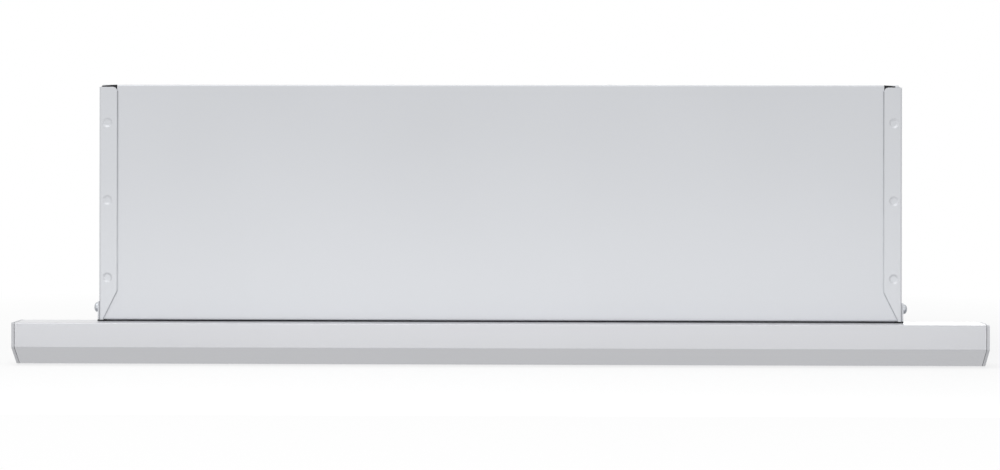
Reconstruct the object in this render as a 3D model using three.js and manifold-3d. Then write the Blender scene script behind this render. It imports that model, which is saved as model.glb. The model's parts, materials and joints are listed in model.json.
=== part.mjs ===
// Pull out range hood: a sheet body over a base tray, and a visor with a full-width front bar that slides
// out on three-part rails. Millimetres, +Z up, the front faces -Y, X runs along the bar.
// The origin is under the middle of the closed hood, on the surface that it rests on.
import * as THREE from 'three';
import { mergeVertices } from 'three/addons/utils/BufferGeometryUtils.js';
import Module from 'manifold-3d';

const wasm = await Module();
wasm.setup();

// ---- driving dimensions -------------------------------------------------------------------------
const SHEET = 0.8; // steel sheet
const LAP = 0.1; // clearance between lapped sheets
const FIT = 0.3; // clearance between seated parts
const RUN = 0.35; // clearance between sliding parts
const PAST = 1; // how far a cutting shape runs past what it cuts

const BAR_WIDTH = 598;
const BAR_HEIGHT = 26.3;
const BAR_DEPTH = 28;
const BAR_FACE = 15.2; // height of the upright face
const FACET_SETBACK = 15.5; // how far the lower facet goes back
const BAR_WALL = 1.6;
const BAR_EDGE = 1; // rounding along the bar
const CAP_THICK = 1.7;
const CAP_PLUG = 8;

const BODY_WIDTH = 496;
const BODY_DEPTH = 273;
const BODY_TOP = 172.8;
const BODY_BEND = 1; // outer radius of the sheet's bends
const BAR_PROUD = 16; // bar face in front of the body front
const BODY_GAP = 0.9; // slit between the bar's top and the body front
const HEM = 12;

const FLANGE = 11; // side panel flanges
const FLANGE_DROP = 1.4; // front flange's top under the body's top
const FLANGE_CORNER = 2.5; // rounding of the front flange's inner top corner
const FLANGE_OUTER_CORNER = 1.75;
const FLANGE_CUT = 18; // height of the slanted lower end
const FLANGE_TIP = 2.7; // width left at the lower end
const FLANGE_FOOT = 1.5; // height of the straight part under the slant
const FLANGE_BEND = 1.4;
const TOP_BEND = 2; // where the side panel folds in under the top sheet
const DIMPLE_R = 3.1; // at the flange's face
const DIMPLE_FLOOR = 1.85;
const DIMPLE_DEPTH = 0.7;
const DIMPLE_OUT = 0.4; // dimple centres outside the flange's middle
const DIMPLE_SIDES = 14;
const DIMPLES = 3;
const DIMPLE_TOP = 22; // first dimple below the flange's top
const DIMPLE_PITCH = 48;

const TRAY_WALL = 38.5; // height of the base tray's walls
const TRAY_EDGE = 26.5; // width of its bottom side flanges
const TRAY_LIP = 7.5; // height of its front lip
const STRIP_DEPTH = 35.7; // front strip with the lamps and controls
const SIDE_SCREW_Z = 34.5;
const SIDE_SCREW_IN = 8; // screw centres from the body's front and back

const RAIL_HEIGHT = 20;
const RAIL_DEPTH = 10;
const RAIL_SHEET = 1.2;
const RAIL_LENGTH = 240;
const RAIL_RUNNER = 200;
const RAIL_START = 4.7; // rail's front end behind the tray's front
const RAIL_CENTRE = 16.5;
const RAIL_BEND = 1.6;
const RAIL_SCREW_IN = 28.8; // screw centres from the rail's ends
const MIDDLE_PROUD = 1; // middle rail's edges past the outer rail's
const INNER_PROUD = 3; // inner rail's web past the outer rail's edges

const VISOR_BOTTOM = 10;
const VISOR_HEIGHT = 12;
const VISOR_LENGTH = 176;
const VISOR_SIDE = 22;
const VISOR_FRONT = 30;
const GLASS = 4;
const GLASS_EDGE = 6;
const GLASS_SEAT = 4.7;
const VISOR_CORNER = 2;
const GLASS_CORNER = 3;
const BAR_SCREW_SPACING = 180;
const BAR_SCREW_Z = 15;
const BAR_SCREW_GRIP = 7; // visor wall between the bar and a screw's head
const SCREW_POCKET = { width: 9, length: 13, above: 4 };

const FILTER_THICK = 8;
const FILTER_SIDE = 12;
const FILTER_FRONT = 22;
const FILTER_GAP = 2; // between the two cassettes
const FILTER_DEPTH = 200.2;
const FILTER_BOTTOM = 0.9;
const FILTER_PLAY = 0.5; // opening's front edge to the cassette
const FILTER_END_PLAY = 1.5; // opening's side edge to the cassette
const MESH_THICK = 6;
const MESH_EDGE = 4;
const TONGUE_WIDTH = 16;
const TONGUE_REACH = 6.5;
const TONGUE_THICK = 0.8;
const TONGUE_SPACING = 120;
const TONGUE_ROOT = 2; // tongue inside the cassette
const PIVOT_REACH = 3.3; // tongue's pivot behind the cassette
const LATCH_WIDTH = 41.4;
const LATCH_DEPTH = 12;
const LATCH_TRAVEL = 4;
const LATCH_RIB = 1.5;
const LATCH_RIB_THICK = 2;
const LATCH_EDGE = 1;
const FINGER = { ends: 7, front: 4, back: 2, roof: 1.5 }; // latch left around its finger hollow

const DUCT_BORE = 116;
const DUCT_SIDES = 40;
const DUCT_WALL = 2.5;
const DUCT_Y = -20;
const COLLECTOR_WIDTH = 128;
const COLLECTOR_HEIGHT = 23.1;
const DUCT_FLANGE = 152;
const DUCT_FLANGE_CORNER = 8;
const DUCT_SCREW_IN = 7; // screw centres from the collector flange's edges
const NECK_ROOT = 4; // outlet neck under the collector's top
const THROAT_BACK = 26;
const THROAT_FRONT = -30;

const WHEEL_Y = 64;
const WHEEL_Z = 100;
const WHEEL_R = 45.5;
const BLADE_DEPTH = 7.5;
const BLADE_THICK = 1;
const BLADE_LEAN = 4.2; // how far a blade's outer edge runs ahead of its inner edge
const BLADE_INSET = 0.6; // blade edges inside the rings' faces
const BLADES = 16;
const WHEEL_WIDTH = 108;
const WHEEL_RING = 3;
const WHEEL_SIDES = 32;
const HUB_R = 10;
const TONGUE_ANGLE = 135; // where the scroll starts, in degrees up from the back
const SCROLL_START = 48.5;
const SCROLL_GROWTH = 27.5;
const SCROLL_WIDTH = 124;
const SCROLL_WALL = 2;
const TONGUE_LAP = 8; // degrees by which the scroll's outside starts earlier
const INLET_R = 40;
const MOTOR_R = 31;
const MOTOR_LENGTH = 50;
const MOTOR_EDGE = 5; // motor's chamfers
const MOTOR_STEP = { r: 9, height: 2, edge: 6 }; // round boss on the motor's inner end
const BRACKET = { disc: 27, root: 14, tip: 10, reach: 48, angles: [60, 180, -60], eye: 6 };
const SHAFT_R = 4;
const SHAFT_OUT = 2; // shaft past the motor and past the nut
const SHAFT_EDGE = 1;
const NUT_R = 7.5;
const NUT_THICK = 5;

const CONTROL_X = 174;
const CONTROL_WIDTH = 80;
const CONTROL_DEPTH = 22;
const SPEED_TRAVEL = 18;
const LIGHT_TRAVEL = 6;
const KNOB = 11;
const KNOB_DEPTH = 8;
const LAMP_X = 80;
const LAMP_WIDTH = 84;
const LAMP_DEPTH = 22;
const LAMP_WALL = 2;
const STRIP_FLUSH = 0.2; // lenses and controls above the tray's underside
const VISOR_CLEAR = 0.6; // strip parts under the closed visor
const SLIDE_STEM = 4; // width of a slider's grip and stem
const SLIDE_EDGE = 8; // fascia's end to the first slide
const SLIDE_SPACING = 10; // between the two slides

// ---- what follows from them ---------------------------------------------------------------------
const FRONT = -(BAR_PROUD + BODY_DEPTH + 2 * LAP + SHEET) / 2;
const BACK = -FRONT;
const BODY_FRONT = FRONT + BAR_PROUD;
const BODY_BACK = BACK - SHEET - 2 * LAP;
const BODY_BOTTOM = BAR_HEIGHT + BODY_GAP;
const SIDE = BODY_WIDTH / 2;
const SHELL_SIDE = SIDE - Math.max(SHEET, FLANGE_BEND, TOP_BEND) - LAP;
const SHELL_FRONT = BODY_FRONT + SHEET + LAP;
const SHELL_BACK = BODY_BACK - SHEET - LAP;
const TRAY_SIDE = SIDE + 2 * LAP + SHEET;
const BAR_BACK = FRONT + BAR_DEPTH;
const TRAY_FRONT = BAR_BACK + FIT;
const FILTER_OPENING_FRONT = TRAY_FRONT + STRIP_DEPTH;
const FILTER_OPENING_SIDE = TRAY_SIDE - TRAY_EDGE;
const STRIP_Y = TRAY_FRONT + STRIP_DEPTH / 2 + FIT;

const STEEL = new THREE.Color(0.82, 0.825, 0.84);
const paint = new THREE.MeshStandardMaterial({ color: STEEL, roughness: 0.45, metalness: 0.3 });
const zinc = new THREE.MeshStandardMaterial({ color: 0xb9bdc2, roughness: 0.4, metalness: 0.9 });
const aluminium = new THREE.MeshStandardMaterial({ color: 0xc8cacc, roughness: 0.35, metalness: 0.9 });
const greyPlastic = new THREE.MeshStandardMaterial({ color: 0xb4b6ba, roughness: 0.55, metalness: 0 });
const blackPlastic = new THREE.MeshStandardMaterial({ color: 0x1c1d1f, roughness: 0.55, metalness: 0 });
const whitePlastic = new THREE.MeshStandardMaterial({ color: 0xe8e8e4, roughness: 0.5, metalness: 0 });
const glass = new THREE.MeshStandardMaterial({ color: 0x9fb3ae, roughness: 0.05, metalness: 0 });
const lens = new THREE.MeshStandardMaterial({ color: 0xf2f2ee, roughness: 0.3, metalness: 0 });

// ---- helpers ------------------------------------------------------------------------------------
const hood = new THREE.Group();

function solid(geometry) {
  const bare = geometry.index ? geometry.clone() : geometry;
  bare.deleteAttribute('normal');
  bare.deleteAttribute('uv');
  const merged = mergeVertices(bare, 1e-4);
  const mesh = new wasm.Mesh({
    numProp: 3,
    vertProperties: new Float32Array(merged.attributes.position.array),
    triVerts: new Uint32Array(merged.index.array),
  });
  return new wasm.Manifold(mesh);
}

function toGeometry(manifold) {
  const mesh = manifold.getMesh();
  const geometry = new THREE.BufferGeometry();
  geometry.setAttribute('position', new THREE.BufferAttribute(mesh.vertProperties, 3));
  geometry.setIndex(new THREE.BufferAttribute(mesh.triVerts, 1));
  geometry.computeVertexNormals();
  return geometry;
}

function add(name, manifold, material) {
  const mesh = new THREE.Mesh(toGeometry(manifold), material);
  mesh.name = name;
  hood.add(mesh);
}

function union(...solids) {
  return solids.reduce((whole, piece) => whole.add(piece));
}

function cut(whole, ...tools) {
  return tools.reduce((left, tool) => left.subtract(tool), whole);
}

function block(xs, ys, zs) {
  const low = [xs, ys, zs].map((pair) => Math.min(...pair));
  const high = [xs, ys, zs].map((pair) => Math.max(...pair));
  const geometry = new THREE.BoxGeometry(high[0] - low[0], high[1] - low[1], high[2] - low[2]);
  geometry.translate((low[0] + high[0]) / 2, (low[1] + high[1]) / 2, (low[2] + high[2]) / 2);
  return solid(geometry);
}

function extrude(points, from, to) {
  const shape = new THREE.Shape(points.map(([a, b]) => new THREE.Vector2(a, b)));
  const low = Math.min(from, to);
  const geometry = new THREE.ExtrudeGeometry(shape, { depth: Math.abs(to - from), bevelEnabled: false });
  geometry.translate(0, 0, low);
  return geometry;
}

const TO_X = new THREE.Matrix4().makeBasis(
  new THREE.Vector3(0, 1, 0), new THREE.Vector3(0, 0, 1), new THREE.Vector3(1, 0, 0));
const TO_Y = new THREE.Matrix4().makeBasis(
  new THREE.Vector3(0, 0, 1), new THREE.Vector3(1, 0, 0), new THREE.Vector3(0, 1, 0));

// outlines of [y, z], [x, z] and [x, y] points, run along X, Y and Z
const alongX = (points, from, to) => solid(extrude(points, from, to).applyMatrix4(TO_X));
const alongY = (points, from, to) =>
  solid(extrude(points.map(([x, z]) => [z, x]), from, to).applyMatrix4(TO_Y));
const alongZ = (points, from, to) => solid(extrude(points, from, to));

function circle(radius, centre, sides) {
  const step = (2 * Math.PI) / sides;
  return Array.from({ length: sides }, (_, i) => [
    centre[0] + radius * Math.cos((i + 0.5) * step),
    centre[1] + radius * Math.sin((i + 0.5) * step),
  ]);
}

// a turned part: [radius, height] points from axis to axis, or a closed ring, along a direction from a foot
function turned(points, foot, direction, sides) {
  const geometry = new THREE.LatheGeometry(points.map(([r, h]) => new THREE.Vector2(r, h)), sides);
  const up = new THREE.Vector3(0, 1, 0);
  const turn = new THREE.Quaternion().setFromUnitVectors(up, new THREE.Vector3(...direction));
  geometry.applyQuaternion(turn);
  geometry.translate(...foot);
  return solid(geometry);
}

const closedRing = (points) => [...points, points[0]];

// one corner of a path, rounded to a radius
function roundCorner(before, corner, after, radius, steps = 4) {
  const a = new THREE.Vector2(...before).sub(new THREE.Vector2(...corner)).normalize();
  const b = new THREE.Vector2(...after).sub(new THREE.Vector2(...corner)).normalize();
  const half = Math.acos(THREE.MathUtils.clamp(a.dot(b), -1, 1)) / 2;
  const centre = a.clone().add(b).normalize().multiplyScalar(radius / Math.sin(half));
  const start = a.clone().multiplyScalar(radius / Math.tan(half)).sub(centre);
  const sweep = (Math.PI - 2 * half) * Math.sign(b.cross(a));
  return Array.from({ length: steps + 1 }, (_, i) => {
    const arm = start.clone().rotateAround(new THREE.Vector2(), (sweep * i) / steps);
    return [corner[0] + centre.x + arm.x, corner[1] + centre.y + arm.y];
  });
}

// a closed outline with every corner rounded; radius is one number or one for each corner
function rounded(points, radius) {
  const count = points.length;
  return points.flatMap((corner, i) => {
    const r = Array.isArray(radius) ? radius[i] : radius;
    const before = points[(i + count - 1) % count];
    return r > 0 ? roundCorner(before, corner, points[(i + 1) % count], r) : [corner];
  });
}

function offsetLine(a, b, distance) {
  const along = new THREE.Vector2(b[0] - a[0], b[1] - a[1]).normalize();
  return { point: [a[0] - along.y * distance, a[1] + along.x * distance], along };
}

function meet(first, second) {
  const cross = first.along.cross(second.along);
  const gap = new THREE.Vector2(second.point[0] - first.point[0], second.point[1] - first.point[1]);
  const reach = gap.cross(second.along) / cross;
  return [first.point[0] + first.along.x * reach, first.point[1] + first.along.y * reach];
}

// the closed outline moved inwards; the points run counterclockwise
function inset(points, distance) {
  const lines = points.map((point, i) => offsetLine(point, points[(i + 1) % points.length], distance));
  return lines.map((line, i) => meet(lines[(i + lines.length - 1) % lines.length], line));
}

// the section of a folded sheet: its outer side is a path, and the sheet lies on the path's left
function foldedSheet(path, thickness, bend) {
  const inner = path.map((point, i) => {
    const before = i > 0 ? offsetLine(path[i - 1], point, thickness) : null;
    const after = i < path.length - 1 ? offsetLine(point, path[i + 1], thickness) : null;
    if (before && after) return meet(before, after);
    if (after) return after.point;
    return [before.point[0] + point[0] - path[i - 1][0], before.point[1] + point[1] - path[i - 1][1]];
  });
  const round = (line, radius) => line.flatMap((point, i) => (i === 0 || i === line.length - 1
    ? [point] : roundCorner(line[i - 1], point, line[i + 1], radius)));
  return [...round(path, bend), ...round(inner, Math.max(bend - thickness, thickness / 4)).reverse()];
}

const mirrorPath = (path, side) => (side < 0 ? path : path.map(([a, b]) => [-a, b]).reverse());

const SCREW_SIDES = 12;
const HEAD_EDGE = 0.5; // share of a pan head's height that is upright
const HEAD_CROWN = 0.65; // share of its radius that is flat

// pan head screw: the head's underside sits at foot, the head stands out along direction
function panScrew(foot, direction, { shank, length, headR, headH }) {
  const profile = [
    [0, -length], [shank, -length], [shank, 0], [headR, 0], [headR, headH * HEAD_EDGE],
    [headR * HEAD_CROWN, headH], [0, headH],
  ];
  return turned(profile, foot, direction, SCREW_SIDES);
}

function hole(radius, centre, direction, length, sides = SCREW_SIDES) {
  const profile = [[0, -length], [radius, -length], [radius, length], [0, length]];
  return turned(profile, centre, direction, sides);
}

const X_AXIS = [1, 0, 0];
const Y_AXIS = [0, 1, 0];
const Z_AXIS = [0, 0, 1];
const SIDES = [['left', -1], ['right', 1]];

// ---- fixings: where each screw goes, so that its holes follow -----------------------------------
const SIDE_SCREW = { shank: 1.6, length: 7, headR: 3, headH: 3.2 };
const RAIL_SCREW = { shank: 1.6, length: SHEET + FIT + RAIL_SHEET, headR: 3, headH: 1.5 };
const DUCT_SCREW = { shank: 1.6, length: 2.9, headR: 3, headH: 1.2 };
const BAR_SCREW = { shank: 1.8, length: 11, headR: 3, headH: 2 };

const sideScrewPlaces = [['front', BODY_FRONT + SIDE_SCREW_IN], ['rear', BODY_BACK - SIDE_SCREW_IN]];
const railFront = TRAY_FRONT + RAIL_START;
const railScrewPlaces = [railFront + RAIL_SCREW_IN, railFront + RAIL_LENGTH - RAIL_SCREW_IN];
const ductScrewOut = DUCT_FLANGE / 2 - DUCT_SCREW_IN;
const ductScrewPlaces = [[-1, -1], [1, -1], [-1, 1], [1, 1]]
  .map(([a, b]) => [a * ductScrewOut, DUCT_Y + b * ductScrewOut]);

const sideHole = (screw, x, y, z) => hole(screw.shank + FIT, [x, y, z], X_AXIS, 3);

// ---- body ---------------------------------------------------------------------------------------
const GLAND = {
  x: -190, y: 70, flangeR: 10.5, bodyR: 7.6, bore: 4, rise: 1.6, depth: 10,
  flangeEdge: 1, lip: 2, mouth: 1, sides: 16,
};

function bodyShell() {
  const path = [
    [SHELL_FRONT + HEM, BODY_BOTTOM], [SHELL_FRONT, BODY_BOTTOM], [SHELL_FRONT, BODY_TOP],
    [SHELL_BACK, BODY_TOP], [SHELL_BACK, BODY_BOTTOM],
  ];
  const inwards = foldedSheet([...path].reverse(), SHEET, BODY_BEND);
  const sheet = alongX(inwards, -SHELL_SIDE, SHELL_SIDE);
  const through = [BODY_TOP - SHEET - PAST, BODY_TOP + PAST];
  const duct = alongZ(circle(DUCT_BORE / 2 + DUCT_WALL + FIT, [0, DUCT_Y], DUCT_SIDES), ...through);
  const gland = alongZ(circle(GLAND.bodyR + FIT, [GLAND.x, GLAND.y], GLAND.sides), ...through);
  const screws = ductScrewPlaces.map(([x, y]) => hole(DUCT_SCREW.shank + FIT,
    [x, y, BODY_TOP], Z_AXIS, SHEET + PAST));
  return cut(sheet, duct, gland, ...screws);
}

function sidePanel(side) {
  const x = (value) => side * value;
  const flangeTop = BODY_TOP - FLANGE_DROP;
  const panelTop = BODY_TOP - SHEET - LAP;
  const foldY = [SHELL_FRONT + SHEET + LAP + FIT, SHELL_BACK - SHEET - LAP - FIT];
  const wrap = mirrorPath([
    [-SIDE + FLANGE, BODY_BACK], [-SIDE, BODY_BACK], [-SIDE, BODY_FRONT], [-SIDE + FLANGE, BODY_FRONT],
  ], side);
  const walls = alongZ(foldedSheet(wrap, SHEET, FLANGE_BEND), BODY_BOTTOM, flangeTop);
  const over = mirrorPath([
    [-SIDE + FLANGE, panelTop], [-SIDE, panelTop], [-SIDE, BODY_BOTTOM],
  ], side);
  const topFlange = alongY(foldedSheet(over, SHEET, TOP_BEND), ...foldY);
  const foldRoom = block([x(SIDE - FLANGE), x(SIDE + PAST)], foldY, [panelTop - TOP_BEND, BODY_TOP]);
  const inner = SIDE - FLANGE;
  const slant = [
    [x(inner - PAST), BODY_BOTTOM - PAST], [x(SIDE - FLANGE_TIP), BODY_BOTTOM - PAST],
    [x(SIDE - FLANGE_TIP), BODY_BOTTOM + FLANGE_FOOT], [x(inner), BODY_BOTTOM + FLANGE_CUT],
    [x(inner - PAST), BODY_BOTTOM + FLANGE_CUT],
  ];
  const cornerArc = roundCorner([x(inner), BODY_BOTTOM], [x(inner), flangeTop],
    [x(SIDE), flangeTop], FLANGE_CORNER);
  const corner = [...cornerArc, [x(inner + FLANGE_CORNER), flangeTop + PAST],
    [x(inner - PAST), flangeTop + PAST], [x(inner - PAST), flangeTop - FLANGE_CORNER]];
  const outerArc = roundCorner([x(inner), flangeTop], [x(SIDE), flangeTop],
    [x(SIDE), BODY_BOTTOM], FLANGE_OUTER_CORNER);
  const outerCorner = [...outerArc, [x(SIDE + PAST), flangeTop - FLANGE_OUTER_CORNER],
    [x(SIDE + PAST), flangeTop + PAST], [x(SIDE - FLANGE_OUTER_CORNER), flangeTop + PAST]];
  const shapes = [slant, corner, outerCorner];
  const front = shapes.map((outline) => alongY(outline, BODY_FRONT - PAST, BODY_FRONT + SHEET + LAP / 2));
  const back = shapes.map((outline) => alongY(outline, BODY_BACK + PAST, BODY_BACK - SHEET - LAP / 2));
  const screws = sideScrewPlaces.map(([, y]) => sideHole(SIDE_SCREW, x(SIDE), y, SIDE_SCREW_Z));
  const dimples = Array.from({ length: DIMPLES }, (_, i) => {
    const z = flangeTop - DIMPLE_TOP - i * DIMPLE_PITCH;
    const rise = DIMPLE_DEPTH + FIT;
    const mouth = DIMPLE_FLOOR + ((DIMPLE_R - DIMPLE_FLOOR) * rise) / DIMPLE_DEPTH;
    const profile = [[0, 0], [DIMPLE_FLOOR, 0], [mouth, rise], [0, rise]];
    const across = x(SIDE - FLANGE / 2 + DIMPLE_OUT);
    const foot = [across, BODY_FRONT + DIMPLE_DEPTH, z];
    const rear = [across, BODY_BACK - DIMPLE_DEPTH, z];
    return [turned(profile, foot, [0, -1, 0], DIMPLE_SIDES), turned(profile, rear, Y_AXIS, DIMPLE_SIDES)];
  }).flat();
  return cut(union(cut(walls, foldRoom), topFlange), ...front, ...back, ...screws, ...dimples);
}

// ---- base tray ----------------------------------------------------------------------------------
const controlRange = [CONTROL_X - CONTROL_WIDTH / 2, CONTROL_X + CONTROL_WIDTH / 2];
const around = (centre, width) => [centre - width / 2, centre + width / 2];
const grown = ([low, high], margin) => [low - margin, high + margin];

function baseFrame() {
  const across = foldedSheet([
    [-TRAY_SIDE, TRAY_WALL], [-TRAY_SIDE, 0], [TRAY_SIDE, 0], [TRAY_SIDE, TRAY_WALL],
  ], SHEET, FLANGE_BEND);
  const tray = alongY(across, TRAY_FRONT, BACK);
  const lengthways = foldedSheet([
    [TRAY_FRONT, TRAY_LIP], [TRAY_FRONT, 0], [BACK, 0], [BACK, TRAY_WALL],
  ], SHEET, FLANGE_BEND);
  const ends = alongX(lengthways, -TRAY_SIDE + FLANGE_BEND + SHEET, TRAY_SIDE - FLANGE_BEND - SHEET);
  const ears = SIDES.map(([, side]) => block([side * (TRAY_SIDE - SHEET), side * TRAY_SIDE],
    [BODY_FRONT + 1, TRAY_FRONT + 1], [BODY_BOTTOM, TRAY_WALL]));
  const opening = block([-FILTER_OPENING_SIDE, FILTER_OPENING_SIDE],
    [FILTER_OPENING_FRONT, filterPivot.y + TONGUE_THICK / 2 + 0.1], [-1, SHEET + 1]);
  const lamps = SIDES.map(([, side]) => block(
    around(side * LAMP_X, LAMP_WIDTH), around(STRIP_Y, LAMP_DEPTH), [-1, SHEET + 1]));
  const controls = block(controlRange, around(STRIP_Y, CONTROL_DEPTH), [-1, SHEET + 1]);
  const holes = SIDES.flatMap(([, side]) => [
    ...sideScrewPlaces.map(([, y]) => sideHole(SIDE_SCREW, side * TRAY_SIDE, y, SIDE_SCREW_Z)),
    ...railScrewPlaces.map((y) => sideHole(RAIL_SCREW, side * TRAY_SIDE, y, RAIL_CENTRE)),
  ]);
  return cut(union(tray, ends, ...ears), opening, ...lamps, controls, ...holes);
}

// ---- rails: each part runs in the one outside it ------------------------------------------------
const railWeb = TRAY_SIDE - SHEET - FIT;
const railHalf = RAIL_HEIGHT / 2;
const middleWeb = railWeb - RAIL_SHEET - RUN;
const middleHalf = railHalf - RAIL_SHEET - RUN;
const innerHalf = middleHalf - RAIL_SHEET - RUN;
const innerReach = middleWeb - RAIL_SHEET - RUN;
const innerWeb = railWeb - RAIL_DEPTH - RUN - INNER_PROUD;

function channel(side, webX, openX, half) {
  const path = [
    [-openX, RAIL_CENTRE + half], [-webX, RAIL_CENTRE + half],
    [-webX, RAIL_CENTRE - half], [-openX, RAIL_CENTRE - half],
  ];
  const outwards = webX > openX ? path : [...path].reverse();
  return foldedSheet(mirrorPath(outwards, side), RAIL_SHEET, RAIL_BEND);
}

function railOuter(side) {
  const section = channel(side, railWeb, railWeb - RAIL_DEPTH, railHalf);
  const screws = railScrewPlaces.map((y) => sideHole(RAIL_SCREW, side * railWeb, y, RAIL_CENTRE));
  return cut(alongY(section, railFront, railFront + RAIL_LENGTH), ...screws);
}

const middleEdge = railWeb - RAIL_DEPTH - MIDDLE_PROUD;
const railMiddle = (side) => alongY(channel(side, middleWeb, middleEdge, middleHalf),
  railFront, railFront + RAIL_RUNNER);
const railInner = (side) => alongY(channel(side, innerWeb, innerReach, innerHalf),
  railFront, railFront + RAIL_RUNNER);

// ---- visor --------------------------------------------------------------------------------------
const visorFront = BAR_BACK + FIT;
const visorBack = visorFront + VISOR_LENGTH;
const visorSide = innerWeb - FIT;
const visorTop = VISOR_BOTTOM + VISOR_HEIGHT;
const glassBottom = VISOR_BOTTOM + GLASS_SEAT + FIT;
const paneX = visorSide - VISOR_SIDE + GLASS_EDGE;
const paneY = [visorFront + VISOR_FRONT - GLASS_EDGE, visorBack - VISOR_SIDE + GLASS_EDGE];
const barScrewX = [-BAR_SCREW_SPACING, 0, BAR_SCREW_SPACING];
const barScrewFoot = visorFront + BAR_SCREW_GRIP;

function visorFrame() {
  const body = alongZ(rounded([
    [-visorSide, visorFront], [visorSide, visorFront], [visorSide, visorBack], [-visorSide, visorBack],
  ], VISOR_CORNER), VISOR_BOTTOM, visorTop);
  const seeThrough = block([-paneX + GLASS_EDGE, paneX - GLASS_EDGE],
    [paneY[0] + GLASS_EDGE, paneY[1] - GLASS_EDGE], [VISOR_BOTTOM - PAST, visorTop + PAST]);
  const rebate = block([-paneX - FIT, paneX + FIT], grown(paneY, FIT),
    [VISOR_BOTTOM + GLASS_SEAT, visorTop + PAST]);
  const screws = barScrewX.flatMap((x) => [
    hole(BAR_SCREW.shank + FIT, [x, visorFront, BAR_SCREW_Z], Y_AXIS, BAR_SCREW_GRIP + PAST),
    block(around(x, SCREW_POCKET.width), [barScrewFoot, barScrewFoot + SCREW_POCKET.length],
      [VISOR_BOTTOM - PAST, BAR_SCREW_Z + SCREW_POCKET.above]),
  ]);
  return cut(body, seeThrough, rebate, ...screws);
}

const visorGlass = () => alongZ(rounded([
  [-paneX, paneY[0]], [paneX, paneY[0]], [paneX, paneY[1]], [-paneX, paneY[1]],
], GLASS_CORNER), glassBottom, glassBottom + GLASS);

const barCorners = [
  [FRONT + FACET_SETBACK, 0], [BAR_BACK, 0], [BAR_BACK, BAR_HEIGHT], [FRONT, BAR_HEIGHT],
  [FRONT, BAR_HEIGHT - BAR_FACE],
];
const barRounding = [BAR_EDGE * 2, BAR_EDGE, BAR_EDGE, BAR_EDGE, BAR_EDGE];
const barEnd = BAR_WIDTH / 2 - CAP_THICK - RUN;

function frontBar() {
  const outside = alongX(rounded(barCorners, barRounding), -barEnd, barEnd);
  const inside = alongX(inset(barCorners, BAR_WALL), -barEnd - PAST, barEnd + PAST);
  const screws = barScrewX.map((x) => hole(BAR_SCREW.shank + FIT, [x, BAR_BACK, BAR_SCREW_Z], Y_AXIS, 3));
  return cut(outside, inside, ...screws);
}

function endCap(side) {
  const outside = BAR_WIDTH / 2;
  const plate = alongX(rounded(barCorners, barRounding), side * (outside - CAP_THICK), side * outside);
  const plug = alongX(inset(barCorners, BAR_WALL + FIT),
    side * (outside - CAP_THICK), side * (barEnd - CAP_PLUG));
  return union(plate, plug);
}

// ---- grease filters -----------------------------------------------------------------------------
const filterFront = FILTER_OPENING_FRONT + FILTER_PLAY;
const filterBack = filterFront + FILTER_DEPTH;
const filterTop = FILTER_BOTTOM + FILTER_THICK;
const filterMiddle = FILTER_BOTTOM + FILTER_THICK / 2;
const filterX = [FILTER_GAP / 2, FILTER_OPENING_SIDE - FILTER_END_PLAY];
const filterCentre = (filterX[0] + filterX[1]) / 2;
const latchBack = filterFront + LATCH_DEPTH + LATCH_TRAVEL;
const filterPivot = { y: filterBack + PIVOT_REACH, z: SHEET + FIT + TONGUE_THICK / 2 };
const meshX = [filterX[0] + FILTER_SIDE - MESH_EDGE, filterX[1] - FILTER_SIDE + MESH_EDGE];
const meshY = [filterFront + FILTER_FRONT - MESH_EDGE, filterBack - FILTER_SIDE + MESH_EDGE];

function filterFrame(side) {
  const x = ([low, high]) => [side * low, side * high];
  const outer = block(x(filterX), [filterFront, filterBack], [FILTER_BOTTOM, filterTop]);
  const window = block(x(grown(meshX, -MESH_EDGE)), grown(meshY, -MESH_EDGE),
    [FILTER_BOTTOM - PAST, filterTop + PAST]);
  const groove = block(x(grown(meshX, FIT)), grown(meshY, FIT),
    around(filterMiddle, MESH_THICK + 2 * FIT));
  const pocketY = [filterFront - PAST, latchBack + FIT];
  const pocketWidth = LATCH_WIDTH + 2 * FIT;
  const pocket = block(around(side * filterCentre, pocketWidth), pocketY,
    [FILTER_BOTTOM - PAST, filterTop + PAST]);
  const ribs = block(around(side * filterCentre, pocketWidth + 2 * LATCH_RIB), pocketY,
    around(filterMiddle, LATCH_RIB_THICK + 2 * FIT));
  const tongues = [-1, 1].map((end) => block(
    around(side * filterCentre + (end * TONGUE_SPACING) / 2, TONGUE_WIDTH),
    [filterBack - TONGUE_ROOT, filterBack + TONGUE_REACH],
    [filterPivot.z - TONGUE_THICK / 2, filterPivot.z + TONGUE_THICK / 2]));
  return union(cut(outer, window, groove, pocket, ribs), ...tongues);
}

const filterMesh = (side) => block(meshX.map((value) => side * value), meshY,
  around(filterMiddle, MESH_THICK));

function filterLatch(side) {
  const centre = side * filterCentre;
  const ys = [filterFront, filterFront + LATCH_DEPTH];
  const body = alongZ(rounded([
    [centre - LATCH_WIDTH / 2, ys[0]], [centre + LATCH_WIDTH / 2, ys[0]],
    [centre + LATCH_WIDTH / 2, ys[1]], [centre - LATCH_WIDTH / 2, ys[1]],
  ], [LATCH_EDGE, LATCH_EDGE, 0, 0]), FILTER_BOTTOM, filterTop);
  const ribWidth = LATCH_WIDTH + 2 * LATCH_RIB;
  const ribs = block(around(centre, ribWidth), [ys[0] + LATCH_EDGE, ys[1]],
    around(filterMiddle, LATCH_RIB_THICK));
  const finger = block(around(centre, LATCH_WIDTH - 2 * FINGER.ends),
    [ys[0] + FINGER.front, ys[1] - FINGER.back], [FILTER_BOTTOM - PAST, filterMiddle - FINGER.roof]);
  return cut(union(body, ribs), finger);
}

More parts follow.
